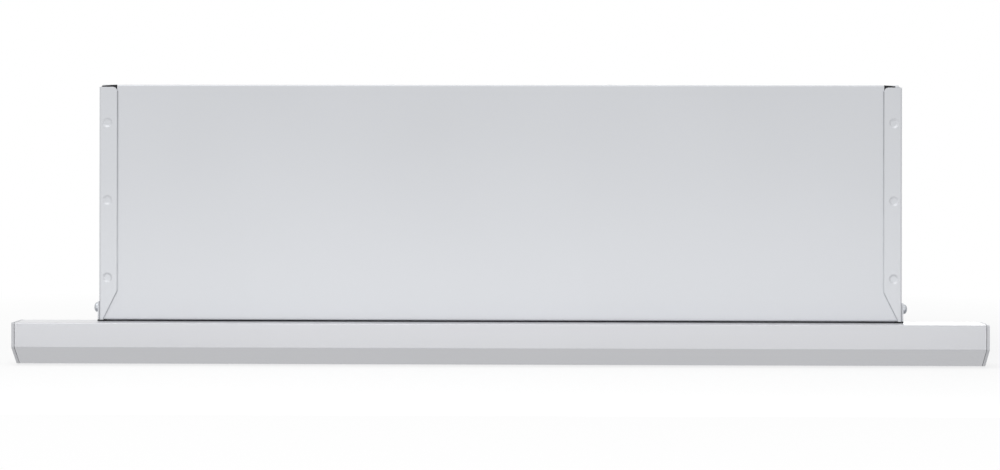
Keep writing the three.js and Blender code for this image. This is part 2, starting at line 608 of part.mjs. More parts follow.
// ---- blower -------------------------------------------------------------------------------------
const shellUnder = BODY_TOP - SHEET;
const collectorTop = shellUnder - FIT;
const collectorBottom = collectorTop - COLLECTOR_HEIGHT;
const collectorBack = DUCT_Y + DUCT_BORE / 2 + DUCT_WALL;
const collectorFront = DUCT_Y - DUCT_BORE / 2 - DUCT_WALL;
const throatTop = collectorBottom - FIT;

function outletDuct() {
  const ring = (radius, ...span) => alongZ(circle(radius, [0, DUCT_Y], DUCT_SIDES), ...span);
  const neck = ring(DUCT_BORE / 2 + DUCT_WALL, collectorTop - NECK_ROOT, BODY_TOP);
  const bore = ring(DUCT_BORE / 2, collectorTop - NECK_ROOT - PAST, BODY_TOP + PAST);
  const flange = alongZ(rounded([
    [-DUCT_FLANGE / 2, DUCT_Y - DUCT_FLANGE / 2], [DUCT_FLANGE / 2, DUCT_Y - DUCT_FLANGE / 2],
    [DUCT_FLANGE / 2, DUCT_Y + DUCT_FLANGE / 2], [-DUCT_FLANGE / 2, DUCT_Y + DUCT_FLANGE / 2],
  ], DUCT_FLANGE_CORNER), collectorTop - DUCT_WALL, collectorTop);
  const box = block(around(0, COLLECTOR_WIDTH), [collectorFront, collectorBack],
    [collectorBottom, collectorTop]);
  const inside = block(around(0, COLLECTOR_WIDTH - 2 * DUCT_WALL),
    [collectorFront + DUCT_WALL, collectorBack - DUCT_WALL],
    [collectorBottom + SCROLL_WALL, collectorTop - DUCT_WALL]);
  const mouth = block(around(0, SCROLL_WIDTH - 2 * SCROLL_WALL), [THROAT_FRONT, THROAT_BACK],
    [collectorBottom - PAST, collectorBottom + SCROLL_WALL + PAST]);
  const screws = ductScrewPlaces.map(([x, y]) => hole(DUCT_SCREW.shank + FIT,
    [x, y, collectorTop], Z_AXIS, DUCT_WALL + PAST));
  return cut(union(box, flange, neck), inside, mouth, bore, ...screws);
}

const SPIRAL_STEPS = 26;

function spiral(extra, fromAngle) {
  return Array.from({ length: SPIRAL_STEPS + 1 }, (_, i) => {
    const angle = fromAngle - ((fromAngle + 180) * i) / SPIRAL_STEPS;
    const growth = (SCROLL_GROWTH * (TONGUE_ANGLE - angle)) / (TONGUE_ANGLE + 180);
    const radius = SCROLL_START + growth + extra;
    const turn = THREE.MathUtils.degToRad(angle);
    return [WHEEL_Y + radius * Math.cos(turn), WHEEL_Z + radius * Math.sin(turn)];
  });
}

function blowerHalf(side) {
  const end = SCROLL_WIDTH / 2;
  const outer = [...spiral(SCROLL_WALL, TONGUE_ANGLE - TONGUE_LAP), [THROAT_FRONT - SCROLL_WALL, throatTop],
    [THROAT_BACK + SCROLL_WALL, throatTop]];
  const inner = [...spiral(0, TONGUE_ANGLE), [THROAT_FRONT, throatTop + PAST],
    [THROAT_BACK, throatTop + PAST]];
  const casing = alongX(outer, side * end, side * (FIT / 2));
  const hollow = alongX(inner, side * (end - SCROLL_WALL), side * (FIT / 2 - PAST));
  const inlet = hole(INLET_R, [side * end, WHEEL_Y, WHEEL_Z], X_AXIS, SCROLL_WALL * 2, DUCT_SIDES);
  return cut(casing, hollow, inlet);
}

const motorEnd = -SCROLL_WIDTH / 2;
const hubHalf = BLADE_THICK * 1.5;
const hubBoss = 12; // hub's end, from the wheel's middle

function motorHousing() {
  const bore = SHAFT_R + FIT;
  const { r, height, edge } = MOTOR_STEP;
  const shoulder = MOTOR_LENGTH - height;
  const section = closedRing([
    [bore, 0], [MOTOR_R - MOTOR_EDGE, 0], [MOTOR_R, MOTOR_EDGE], [MOTOR_R, shoulder - edge],
    [MOTOR_R - edge, shoulder], [r, shoulder], [r, MOTOR_LENGTH], [bore, MOTOR_LENGTH],
  ]);
  return turned(section, [motorEnd, WHEEL_Y, WHEEL_Z], X_AXIS, WHEEL_SIDES);
}

function motorBracket() {
  const x = [motorEnd - FIT, motorEnd - FIT - SCROLL_WALL];
  const disc = alongX(circle(BRACKET.disc, [WHEEL_Y, WHEEL_Z], WHEEL_SIDES), ...x);
  const arm = (angle) => {
    const turn = THREE.MathUtils.degToRad(angle);
    const place = ([along, across]) => [
      WHEEL_Y + along * Math.cos(turn) - across * Math.sin(turn),
      WHEEL_Z + along * Math.sin(turn) + across * Math.cos(turn),
    ];
    const { root, tip, reach } = BRACKET;
    return alongX([[0, -root / 2], [reach, -tip / 2], [reach, tip / 2], [0, root / 2]].map(place), ...x);
  };
  const eye = hole(BRACKET.eye, [motorEnd, WHEEL_Y, WHEEL_Z], X_AXIS, SCROLL_WALL * 2, WHEEL_SIDES / 2);
  return cut(union(disc, ...BRACKET.angles.map(arm)), eye);
}

function fanWheel() {
  const half = WHEEL_WIDTH / 2;
  const inner = WHEEL_R - BLADE_DEPTH;
  const middle = [0, WHEEL_Y, WHEEL_Z];
  const tube = (from, to, bore, radius, sides) => turned(
    closedRing([[bore, from], [radius, from], [radius, to], [bore, to]]), middle, X_AXIS, sides);
  const ends = [[-half, -half + WHEEL_RING], [half - WHEEL_RING, half]];
  const rings = ends.map(([from, to]) => tube(from, to, inner, WHEEL_R, WHEEL_SIDES));
  const disc = tube(-hubHalf, hubHalf, SHAFT_R + FIT, WHEEL_R - BLADE_INSET, WHEEL_SIDES);
  const boss = tube(-hubHalf, hubBoss, SHAFT_R + FIT, HUB_R, WHEEL_SIDES / 2);
  const blades = Array.from({ length: BLADES }, (_, i) => {
    const turn = (2 * Math.PI * i) / BLADES;
    const section = [[inner + BLADE_INSET, 0], [WHEEL_R - BLADE_INSET, BLADE_LEAN]];
    const outline = [...section, ...section.map(([r, t]) => [r, t + BLADE_THICK]).reverse()];
    const placed = outline.map(([r, t]) => [
      WHEEL_Y + r * Math.cos(turn) - t * Math.sin(turn),
      WHEEL_Z + r * Math.sin(turn) + t * Math.cos(turn),
    ]);
    return alongX(placed, -half + WHEEL_RING / 2, half - WHEEL_RING / 2);
  });
  return union(disc, boss, ...rings, ...blades);
}

function motorShaft() {
  const start = motorEnd - SHAFT_OUT;
  const length = hubBoss + FIT + NUT_THICK - start;
  const profile = [
    [0, 0], [SHAFT_R, 0], [SHAFT_R, length - SHAFT_EDGE], [SHAFT_R - SHAFT_EDGE, length], [0, length],
  ];
  return turned(profile, [start, WHEEL_Y, WHEEL_Z], X_AXIS, WHEEL_SIDES / 2);
}

function wheelNut() {
  const x = [hubBoss + FIT, hubBoss + FIT + NUT_THICK];
  const outline = circle(NUT_R, [WHEEL_Y, WHEEL_Z], 6);
  const bore = hole(SHAFT_R + FIT, [x[0], WHEEL_Y, WHEEL_Z], X_AXIS, NUT_THICK + PAST);
  return cut(alongX(outline, ...x), bore);
}

// ---- electrics ----------------------------------------------------------------------------------
const BOX = { x: [-228, -152], y: [-14, 92], height: 34, wall: 2, lid: 2.4 };
const LID_RIM = { wall: 2, height: 3 };
const CAPACITOR = { r: 13, length: 55, edge: 1, fromSide: 3, fromEnd: 4, sides: 20 };
const TERMINAL = { width: 20, height: 14, fromSide: 6, fromEnd: 14, ways: 4, pitch: 12, way: 6, wayTop: 4 };
const boxTop = shellUnder - FIT;
const boxBottom = boxTop - BOX.height;
const boxInsideTop = boxTop - BOX.wall;

function electricsBox() {
  const outer = block(BOX.x, BOX.y, [boxBottom, boxTop]);
  const inner = block(grown(BOX.x, -BOX.wall), grown(BOX.y, -BOX.wall),
    [boxBottom - PAST, boxInsideTop]);
  const gland = alongZ(circle(GLAND.bodyR + FIT, [GLAND.x, GLAND.y], GLAND.sides),
    boxInsideTop - PAST, boxTop + PAST);
  return cut(outer, inner, gland);
}

function electricsLid() {
  const top = boxBottom - FIT;
  const margin = BOX.wall + FIT;
  const plate = block(BOX.x, BOX.y, [top - BOX.lid, top]);
  const inner = margin + LID_RIM.wall;
  const rim = block(grown(BOX.x, -margin), grown(BOX.y, -margin),
    [top - BOX.lid / 2, top + LID_RIM.height]);
  const hollow = block(grown(BOX.x, -inner), grown(BOX.y, -inner), [top, top + LID_RIM.height + PAST]);
  return cut(union(plate, rim), hollow);
}

function capacitor() {
  const { r, length, edge, sides } = CAPACITOR;
  const foot = [BOX.x[0] + BOX.wall + CAPACITOR.fromSide + r, BOX.y[0] + BOX.wall + CAPACITOR.fromEnd,
    boxInsideTop - FIT - r];
  const profile = [[0, 0], [r - edge, 0], [r, edge], [r, length - edge], [r - edge, length], [0, length]];
  return turned(profile, foot, Y_AXIS, sides);
}

function terminalBlock() {
  const { width, height, ways, pitch, way, wayTop } = TERMINAL;
  const right = BOX.x[1] - BOX.wall - TERMINAL.fromSide;
  const x = [right - width, right];
  const front = BOX.y[0] + TERMINAL.fromEnd;
  const top = boxInsideTop - FIT;
  const body = block(x, [front, front + ways * pitch], [top - height, top]);
  const mouths = Array.from({ length: ways }, (_, i) => block(grown(x, PAST),
    around(front + (i + 0.5) * pitch, way), [top - wayTop - way, top - wayTop]));
  return cut(body, ...mouths);
}

function cableGland() {
  const { flangeR, bodyR, bore, rise, depth, flangeEdge, lip, mouth, sides } = GLAND;
  const top = rise + FIT;
  const section = closedRing([
    [bore, -depth], [bodyR, -depth], [bodyR, FIT], [flangeR, FIT], [flangeR, flangeEdge],
    [flangeR - lip, top], [bore + mouth, top], [bore, top - mouth],
  ]);
  return turned(section, [GLAND.x, GLAND.y, BODY_TOP], Z_AXIS, sides);
}

// ---- lamps and controls in the front strip ------------------------------------------------------
const LENS_RIM = 3;
const stripTop = SHEET + FIT;
const PLATE = 1.6;

function seatedPlate(xs, ys, low) {
  const rim = block(grown(xs, LENS_RIM), grown(ys, LENS_RIM), [stripTop, stripTop + PLATE]);
  const plug = block(grown(xs, -FIT), grown(ys, -FIT), [low, stripTop + PLATE]);
  return union(rim, plug);
}

const lampLens = (side) => seatedPlate(
  around(side * LAMP_X, LAMP_WIDTH), around(STRIP_Y, LAMP_DEPTH), STRIP_FLUSH);

function lampHousing(side) {
  const xs = around(side * LAMP_X, LAMP_WIDTH);
  const ys = around(STRIP_Y, LAMP_DEPTH);
  const low = stripTop + PLATE + FIT;
  const high = VISOR_BOTTOM - VISOR_CLEAR;
  const shell = block(grown(xs, LENS_RIM), grown(ys, LENS_RIM), [low, high]);
  return cut(shell, block(grown(xs, -LAMP_WALL), grown(ys, -LAMP_WALL), [low - PAST, high - PLATE]));
}

const FASCIA_TOP = 4.4;
const POCKET = 3.2; // depth of the pockets that the knobs run in
const KNOB_PLATE = 1;
const KNOB_SINK = 0.4; // knob's face above the tray's underside
const STEM_SINK = 2; // stem inside the switch
const SWITCH_DEPTH = 12;
const SWITCH_END = 2; // switch past its knob's travel
const knobY = around(STRIP_Y, KNOB_DEPTH);
const speedX = controlRange[0] + SLIDE_EDGE + KNOB / 2;
const lightX = speedX + SPEED_TRAVEL + KNOB + SLIDE_SPACING;
const SWITCHES = [
  { name: 'speed', x: speedX, travel: SPEED_TRAVEL }, { name: 'light', x: lightX, travel: LIGHT_TRAVEL },
];

const stemRun = ({ x, travel }) => [x - SLIDE_STEM / 2 - FIT, x + SLIDE_STEM / 2 + travel + FIT];
const stemY = around(STRIP_Y, SLIDE_STEM + 2 * FIT);

function controlFascia() {
  const plate = seatedPlate(controlRange, around(STRIP_Y, CONTROL_DEPTH), STRIP_FLUSH);
  const raised = block(grown(controlRange, -FIT), grown(around(STRIP_Y, CONTROL_DEPTH), -FIT),
    [STRIP_FLUSH, FASCIA_TOP]);
  const pockets = SWITCHES.flatMap((entry) => [
    block([entry.x - KNOB / 2 - FIT, entry.x + KNOB / 2 + entry.travel + FIT], grown(knobY, FIT),
      [-PAST, POCKET]),
    block(stemRun(entry), stemY, [-PAST, FASCIA_TOP + PAST]),
  ]);
  return cut(union(plate, raised), ...pockets);
}

function switchBody(entry) {
  const out = KNOB / 2 + SWITCH_END;
  const shell = block([entry.x - out, entry.x + out + entry.travel], around(STRIP_Y, SWITCH_DEPTH),
    [FASCIA_TOP + FIT, VISOR_BOTTOM - VISOR_CLEAR]);
  return cut(shell, block(stemRun(entry), stemY, [FASCIA_TOP, FASCIA_TOP + STEM_SINK + FIT + LAP]));
}

function sliderKnob({ x }) {
  const top = POCKET - FIT;
  const plate = block(around(x, KNOB), knobY, [top - KNOB_PLATE, top]);
  const grip = block(around(x, SLIDE_STEM), knobY, [KNOB_SINK, top]);
  const stem = block(around(x, SLIDE_STEM), around(STRIP_Y, SLIDE_STEM),
    [top - KNOB_PLATE / 2, FASCIA_TOP + STEM_SINK]);
  return union(plate, grip, stem);
}

// ---- microswitch behind the visor ---------------------------------------------------------------
const MICRO = { inset: 6, width: 9, behind: 8, length: 20, height: 16 };
const EAR = { thick: 1.5, half: 2 }; // ears that hold the lever's pivot
const LEVER = { pivotR: 1.2, pivotY: 6.2, pivotZ: 5, tipZ: 5, thick: 1.2, bend: 1, foot: 0.5 };
const microX = around(-(visorSide - MICRO.inset), MICRO.width);
const microY = [visorBack + MICRO.behind, visorBack + MICRO.behind + MICRO.length];
const leverFoot = { y: visorBack + LEVER.pivotY, z: SHEET + FIT + LEVER.pivotZ };

function microswitchBody() {
  const body = block(microX, microY, [SHEET + FIT, SHEET + FIT + MICRO.height]);
  const spans = [[microX[0], microX[0] + EAR.thick], [microX[1] - EAR.thick, microX[1]]];
  const ears = spans.map((span) => block(span, [leverFoot.y - LEVER.pivotR - FIT, microY[0] + PAST],
    grown([leverFoot.z, leverFoot.z], EAR.half)));
  return union(body, ...ears);
}

function microswitchLever() {
  const xs = grown(microX, -EAR.thick - FIT);
  const tip = [visorBack + RUN, VISOR_BOTTOM + LEVER.tipZ];
  const knuckle = alongX(circle(LEVER.pivotR, [leverFoot.y, leverFoot.z], SCREW_SIDES), ...xs);
  const blade = alongX([
    [leverFoot.y - LEVER.foot, leverFoot.z], [leverFoot.y + LEVER.foot, leverFoot.z],
    [tip[0] + LEVER.thick, tip[1] + LEVER.bend], [tip[0], tip[1] + LEVER.bend],
    [tip[0], tip[1] - LEVER.foot],
  ], ...xs);
  return union(knuckle, blade);
}

// ---- assembly -----------------------------------------------------------------------------------
add('body_shell', bodyShell(), paint);
for (const [name, side] of SIDES) add(`side_panel_${name}`, sidePanel(side), paint);
add('base_frame', baseFrame(), paint);
for (const [name, side] of SIDES) {
  for (const [place, y] of sideScrewPlaces) {
    const foot = [side * (TRAY_SIDE + LAP / 2), y, SIDE_SCREW_Z];
    add(`side_screw_${place}_${name}`, panScrew(foot, [side, 0, 0], SIDE_SCREW), zinc);
  }
}
SIDES.flatMap(([, side]) => railScrewPlaces.map((y) => [side, y])).forEach(([side, y], i) => {
  const foot = [side * (TRAY_SIDE + LAP / 2), y, RAIL_CENTRE];
  add(`rail_screw_${i + 1}`, panScrew(foot, [side, 0, 0], RAIL_SCREW), zinc);
});
for (const [name, side] of SIDES) {
  add(`rail_outer_${name}`, railOuter(side), zinc);
  add(`rail_middle_${name}`, railMiddle(side), zinc);
  add(`rail_inner_${name}`, railInner(side), zinc);
}
add('visor_frame', visorFrame(), greyPlastic);
add('visor_glass', visorGlass(), glass);
add('front_bar', frontBar(), paint);
for (const [name, side] of SIDES) add(`end_cap_${name}`, endCap(side), paint);
barScrewX.forEach((x, i) => {
  add(`bar_screw_${i + 1}`, panScrew([x, barScrewFoot + LAP, BAR_SCREW_Z], Y_AXIS, BAR_SCREW), zinc);
});
for (const [name, side] of SIDES) {
  add(`filter_frame_${name}`, filterFrame(side), aluminium);
  add(`filter_mesh_${name}`, filterMesh(side), aluminium);
  add(`filter_latch_${name}`, filterLatch(side), blackPlastic);
}
add('outlet_duct', outletDuct(), blackPlastic);
ductScrewPlaces.forEach(([x, y], i) => {
  add(`outlet_screw_${i + 1}`, panScrew([x, y, BODY_TOP + LAP / 2], Z_AXIS, DUCT_SCREW), zinc);
});
for (const [name, side] of SIDES) add(`blower_half_${name}`, blowerHalf(side), blackPlastic);
add('motor_housing', motorHousing(), zinc);
add('motor_bracket', motorBracket(), zinc);
add('motor_shaft', motorShaft(), zinc);
add('fan_wheel', fanWheel(), blackPlastic);
add('wheel_nut', wheelNut(), zinc);
add('electrics_box', electricsBox(), whitePlastic);
add('electrics_lid', electricsLid(), whitePlastic);
add('capacitor', capacitor(), aluminium);
add('terminal_block', terminalBlock(), whitePlastic);
add('cable_gland', cableGland(), blackPlastic);
for (const [name, side] of SIDES) {
  add(`lamp_lens_${name}`, lampLens(side), lens);
  add(`lamp_housing_${name}`, lampHousing(side), whitePlastic);
}
add('control_fascia', controlFascia(), greyPlastic);
for (const entry of SWITCHES) {
  add(`${entry.name}_switch_body`, switchBody(entry), blackPlastic);
  add(`${entry.name}_slider`, sliderKnob(entry), blackPlastic);
}
add('microswitch_body', microswitchBody(), blackPlastic);
add('microswitch_lever', microswitchLever(), zinc);

export default hood;
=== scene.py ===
"""Pull-out range hood: finishes, fine pieces and a plain studio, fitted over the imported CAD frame."""

import json
import math
import random

import bmesh
import bpy
from mathutils import Matrix, Vector


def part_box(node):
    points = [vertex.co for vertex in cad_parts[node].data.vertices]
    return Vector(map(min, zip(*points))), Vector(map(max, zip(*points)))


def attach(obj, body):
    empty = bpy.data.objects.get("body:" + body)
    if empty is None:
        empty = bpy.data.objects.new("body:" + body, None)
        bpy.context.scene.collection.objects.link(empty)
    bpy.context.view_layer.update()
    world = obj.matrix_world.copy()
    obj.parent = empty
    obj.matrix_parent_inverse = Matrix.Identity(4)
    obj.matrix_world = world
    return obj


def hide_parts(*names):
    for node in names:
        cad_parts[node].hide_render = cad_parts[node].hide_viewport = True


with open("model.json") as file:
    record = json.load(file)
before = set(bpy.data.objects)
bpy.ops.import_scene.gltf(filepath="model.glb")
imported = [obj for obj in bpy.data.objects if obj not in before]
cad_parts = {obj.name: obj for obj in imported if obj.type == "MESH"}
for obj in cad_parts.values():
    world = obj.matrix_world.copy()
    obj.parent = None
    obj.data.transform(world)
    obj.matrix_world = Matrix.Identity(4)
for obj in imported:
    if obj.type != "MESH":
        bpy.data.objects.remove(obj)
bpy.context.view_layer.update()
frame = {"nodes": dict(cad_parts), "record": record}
CAD_NODES = frame["nodes"]

MM = 0.001
X, Y, Z = Vector((1, 0, 0)), Vector((0, 1, 0)), Vector((0, 0, 1))
SIDES = {"left": -1, "right": 1}

# Turns an outline drawn in X and Y so that its Y runs upwards
UPRIGHT = Matrix(((1, 0, 0, 0), (0, 0, -1, 0), (0, 1, 0, 0), (0, 0, 0, 1)))

# Edges that bend more than this stay crisp
CREASE = math.radians(28)

# Colours as the eye reads them, 0 to 255
PAINT_SILVER = (211, 213, 217)
PAINT_BAR = (199, 200, 204)
CAP_SILVER = (207, 208, 212)
PAINT_FLECK = (236, 238, 242)
# Painted shade in the seams beside the flanges: its darkest and palest tone
SEAM_DARK = (164, 166, 170)
SEAM_PALE = (206, 208, 212)
ZINC_BRIGHT = (196, 199, 203)
ZINC_DULL = (158, 161, 166)
# Painted shadow: the paler tone of the dark plates that stand in for shadowed gaps
SHADOW_DUSK = (50, 50, 54)
PLASTIC_GREY = (150, 153, 157)
PLASTIC_BLACK = (34, 34, 36)
PLASTIC_WHITE = (226, 225, 220)
ALUMINIUM = (204, 206, 209)
GLASS_TINT = (236, 243, 241)
LENS_WHITE = (240, 241, 238)
DUST = (168, 163, 152)
PRINT_WHITE = (232, 232, 230)
# Painted shadow: the darker tone of those plates
SHADOW_BLACK = (16, 16, 18)

# Shares by which two shades of one finish differ
PAINT_SHADE = 0.012
PLASTIC_SHADE = 0.07
ALUMINIUM_SHADE = 0.1
GLASS_SHADE = 0.03
LENS_SHADE = 0.04
PRINT_SHADE = 0.12

# How far roughness swings to either side over one finish
PAINT_SWING = 0.03
PLASTIC_SWING = 0.05
ZINC_SWING = 0.07

PIT_SHARE = 0.6
CRYSTAL_WAVES = 60.0
CRYSTAL_BEND = 0.006
ROLLING_STRETCH = (0.02, 1.0, 1.0)
SMEAR_STRETCH = (1.0, 3.0, 1.0)

# The part of a cloudy noise that is spread over a finish's full change
CLOUD_LOW = 0.3
CLOUD_HIGH = 0.7

PAINT_METALLIC = 0.2
COAT_ROUGHNESS = 0.32
FLECK_SHARE = 0.12
DUST_DULLS = 0.4
RUBBED_PALER = 38
GLASS_IOR = 1.5
LENS_IOR = 1.49
LENS_CLEAR = 0.2
# Faint gloss of the painted shadow plates
SHADOW_GLOSS = 0.25

# Heights between which the painted shade in a seam fades, and where its slanted end starts
SEAM_SHADE_TOP = 165 * MM
SEAM_SHADE_END = 60 * MM
SEAM_SHADE_FOOT = 45 * MM
SEAM_SHADE_ON_SLANT = 0.5
SEAM_SHADE_ROUGHNESS = 0.5
# Noise that makes the painted seam shade uneven: its size and swing
SEAM_SHADE_NOISE_SCALE = 120.0
SEAM_SHADE_NOISE_SWING = 0.12


def linear(rgb):
    """A colour of 0 to 255 per channel as the linear RGBA that shaders use."""
    parts = [channel / 255 for channel in rgb]
    return (*[p / 12.92 if p <= 0.04045 else ((p + 0.055) / 1.055) ** 2.4 for p in parts], 1.0)


# ---------------------------------------------------------------- shader building

def add_node(tree, kind, inputs=None, **options):
    """A new shader node with its options and inputs set; an input given as a socket is linked."""
    made = tree.nodes.new(kind)
    for name, value in options.items():
        setattr(made, name, value)
    for name, value in (inputs or {}).items():
        if isinstance(value, bpy.types.NodeSocket):
            tree.links.new(value, made.inputs[name])
        else:
            made.inputs[name].default_value = value
    return made


def math_step(tree, operation, first, second=0.0):
    """One sum of two numbers or sockets."""
    made = add_node(tree, "ShaderNodeMath", {0: first, 1: second}, operation=operation)
    return made.outputs[0]


def remap(tree, value, low, high, to_low=0.0, to_high=1.0):
    """A value spread from one range to another, held inside it."""
    inputs = {"Value": value, "From Min": low, "From Max": high, "To Min": to_low, "To Max": to_high}
    return add_node(tree, "ShaderNodeMapRange", inputs).outputs["Result"]


def mix_colour(tree, factor, first, second):
    """Two colours mixed by a factor."""
    made = tree.nodes.new("ShaderNodeMix")
    made.data_type = "RGBA"
    colour_sockets = {0: factor, 6: first, 7: second}
    for index, value in colour_sockets.items():
        if isinstance(value, bpy.types.NodeSocket):
            tree.links.new(value, made.inputs[index])
        else:
            made.inputs[index].default_value = value
    return made.outputs[2]


def object_place(tree, scale=(1.0, 1.0, 1.0)):
    """Object coordinates, stretched along each axis."""
    place = add_node(tree, "ShaderNodeTexCoord").outputs["Object"]
    return add_node(tree, "ShaderNodeMapping", {"Vector": place, "Scale": scale}).outputs["Vector"]


def noise(tree, place, scale, detail=3.0, roughness=0.5):
    """Cloudy noise, 0 to 1."""
    inputs = {"Vector": place, "Scale": scale, "Detail": detail, "Roughness": roughness}
    return add_node(tree, "ShaderNodeTexNoise", inputs).outputs["Fac"]


def cells(tree, place, scale, output="Distance"):
    """Cell pattern: distance from the cell's middle, or the cell's own colour."""
    return add_node(tree, "ShaderNodeTexVoronoi", {"Vector": place, "Scale": scale}).outputs[output]


def start_group(name, inputs, outputs):
    """An empty shader group with named number inputs and outputs, and its two end nodes."""
    tree = bpy.data.node_groups.new(name, "ShaderNodeTree")
    for label, value in inputs.items():
        socket = tree.interface.new_socket(label, in_out="INPUT", socket_type="NodeSocketFloat")
        socket.default_value = value
    for label in outputs:
        tree.interface.new_socket(label, in_out="OUTPUT", socket_type="NodeSocketFloat")
    return tree, tree.nodes.new("NodeGroupInput").outputs, tree.nodes.new("NodeGroupOutput").inputs


# ---------------------------------------------------------------- shared effects

def edge_wear_group():
    """Mask of the outer edges, broken up by noise, where paint or plating is rubbed."""
    tree, given, ends = start_group("edge_wear", {"Radius": 0.0006, "Amount": 0.5}, ["Mask"])
    rounded = add_node(tree, "ShaderNodeBevel", {"Radius": given["Radius"]}, samples=4).outputs[0]
    flat = add_node(tree, "ShaderNodeNewGeometry").outputs["Normal"]
    alike = add_node(tree, "ShaderNodeVectorMath", {0: rounded, 1: flat}, operation="DOT_PRODUCT")
    turned = math_step(tree, "SUBTRACT", 1.0, alike.outputs["Value"])
    edge = remap(tree, turned, 0.01, 0.22)
    cloud = noise(tree, object_place(tree), scale=240.0, detail=4.0, roughness=0.65)
    broken = remap(tree, cloud, 0.35, 0.7, to_low=0.15)
    rubbed = math_step(tree, "MULTIPLY", edge, broken)
    tree.links.new(math_step(tree, "MULTIPLY", rubbed, given["Amount"]), ends["Mask"])
    return tree


def paint_texture_group():
    """Sprayed paint: fine orange peel, bright flecks and slow changes of shade."""
    tree, given, ends = start_group(
        "paint_texture", {"Peel Scale": 900.0, "Fleck Scale": 2600.0}, ["Height", "Fleck", "Patch"]
    )
    place = object_place(tree)
    peel = noise(tree, place, given["Peel Scale"], detail=2.0, roughness=0.45)
    tree.links.new(peel, ends["Height"])
    fleck = cells(tree, place, given["Fleck Scale"])
    tree.links.new(remap(tree, fleck, 0.05, 0.3, to_low=1.0, to_high=0.0), ends["Fleck"])
    patch = noise(tree, place, scale=7.0, detail=2.0)
    tree.links.new(patch, ends["Patch"])
    return tree


def moulded_grain_group():
    """Spark-eroded grain of moulded plastic, and a slow change of shade."""
    tree, given, ends = start_group("moulded_grain", {"Scale": 1500.0}, ["Height", "Patch"])
    place = object_place(tree)
    pits = cells(tree, place, given["Scale"])
    shallow = math_step(tree, "MULTIPLY", pits, PIT_SHARE)
    cloud = noise(tree, place, given["Scale"], roughness=0.6)
    tree.links.new(math_step(tree, "ADD", shallow, cloud), ends["Height"])
    patch = noise(tree, place, scale=18.0, roughness=0.55)
    tree.links.new(patch, ends["Patch"])
    return tree


def zinc_spangle_group():
    """Crystals of zinc plating, each a little lighter or darker and smoother or rougher."""
    tree, given, ends = start_group("zinc_spangle", {"Scale": 190.0}, ["Shade", "Sheen", "Height"])
    place = object_place(tree)
    waves = {"Vector": place, "Scale": CRYSTAL_WAVES}
    bend = add_node(tree, "ShaderNodeTexNoise", waves).outputs["Color"]
    reach = {0: bend, 1: (CRYSTAL_BEND,) * 3}
    moved = add_node(tree, "ShaderNodeVectorMath", reach, operation="MULTIPLY")
    bent = add_node(tree, "ShaderNodeVectorMath", {0: place, 1: moved.outputs[0]}, operation="ADD")
    tint = cells(tree, bent.outputs[0], given["Scale"], "Color")
    parts = add_node(tree, "ShaderNodeSeparateColor", {"Color": tint}).outputs
    tree.links.new(parts["Red"], ends["Shade"])
    tree.links.new(parts["Green"], ends["Sheen"])
    relief = noise(tree, place, scale=1400.0, detail=2.0)
    tree.links.new(relief, ends["Height"])
    return tree


def rolled_lines_group():
    """Fine lines that rolling leaves along a metal sheet."""
    tree, given, ends = start_group("rolled_lines", {"Density": 900.0}, ["Height", "Shade"])
    place = object_place(tree, ROLLING_STRETCH)
    lines = noise(tree, place, given["Density"], roughness=0.6)
    tree.links.new(lines, ends["Height"])
    tree.links.new(remap(tree, lines, 0.3, 0.7), ends["Shade"])
    return tree


def settled_dust_group():
    """Thin dust that lies on what faces up."""
    tree, given, ends = start_group("settled_dust", {"Amount": 0.2}, ["Mask"])
    normal = add_node(tree, "ShaderNodeNewGeometry").outputs["Normal"]
    upward = add_node(tree, "ShaderNodeSeparateXYZ", {"Vector": normal}).outputs["Z"]
    facing = remap(tree, upward, 0.55, 1.0)
    cloud = noise(tree, object_place(tree), scale=55.0, detail=6.0, roughness=0.65)
    lying = math_step(tree, "MULTIPLY", facing, remap(tree, cloud, 0.38, 0.72))
    tree.links.new(math_step(tree, "MULTIPLY", lying, given["Amount"]), ends["Mask"])
    return tree


EFFECTS = {
    "edge wear": edge_wear_group(),
    "paint texture": paint_texture_group(),
    "moulded grain": moulded_grain_group(),
    "zinc spangle": zinc_spangle_group(),
    "rolled lines": rolled_lines_group(),
    "settled dust": settled_dust_group(),
}


# ---------------------------------------------------------------- finishes

def use_effect(tree, effect, values=None):
    """A shared effect placed in a material with its own values."""
    made = tree.nodes.new("ShaderNodeGroup")
    made.node_tree = EFFECTS[effect]
    for name, value in (values or {}).items():
        made.inputs[name].default_value = value
    return made.outputs


def new_finish(name, metallic=0.0, **sockets):
    """A material with its node tree and the inputs of its Principled shader."""
    made = bpy.data.materials.new(name)
    made.use_nodes = True
    tree = made.node_tree
    shader = tree.nodes["Principled BSDF"].inputs
    shader["Metallic"].default_value = metallic
    for socket, value in sockets.items():
        shader[socket.replace("_", " ")].default_value = value
    return made, tree, shader


def darker(rgb, share):
    """A colour brought down by a share of itself."""
    return tuple(channel * (1 - share) for channel in rgb)


def set_bump(tree, shader, height, depth):
    """Relief of a given depth on a finish."""
    bump = add_node(tree, "ShaderNodeBump", {"Strength": 1.0, "Distance": depth, "Height": height})
    tree.links.new(bump.outputs["Normal"], shader["Normal"])


def cloudy(tree, patch, low=0.0, high=1.0):
    """A cloudy noise's middle part, spread between two values."""
    return remap(tree, patch, CLOUD_LOW, CLOUD_HIGH, low, high)


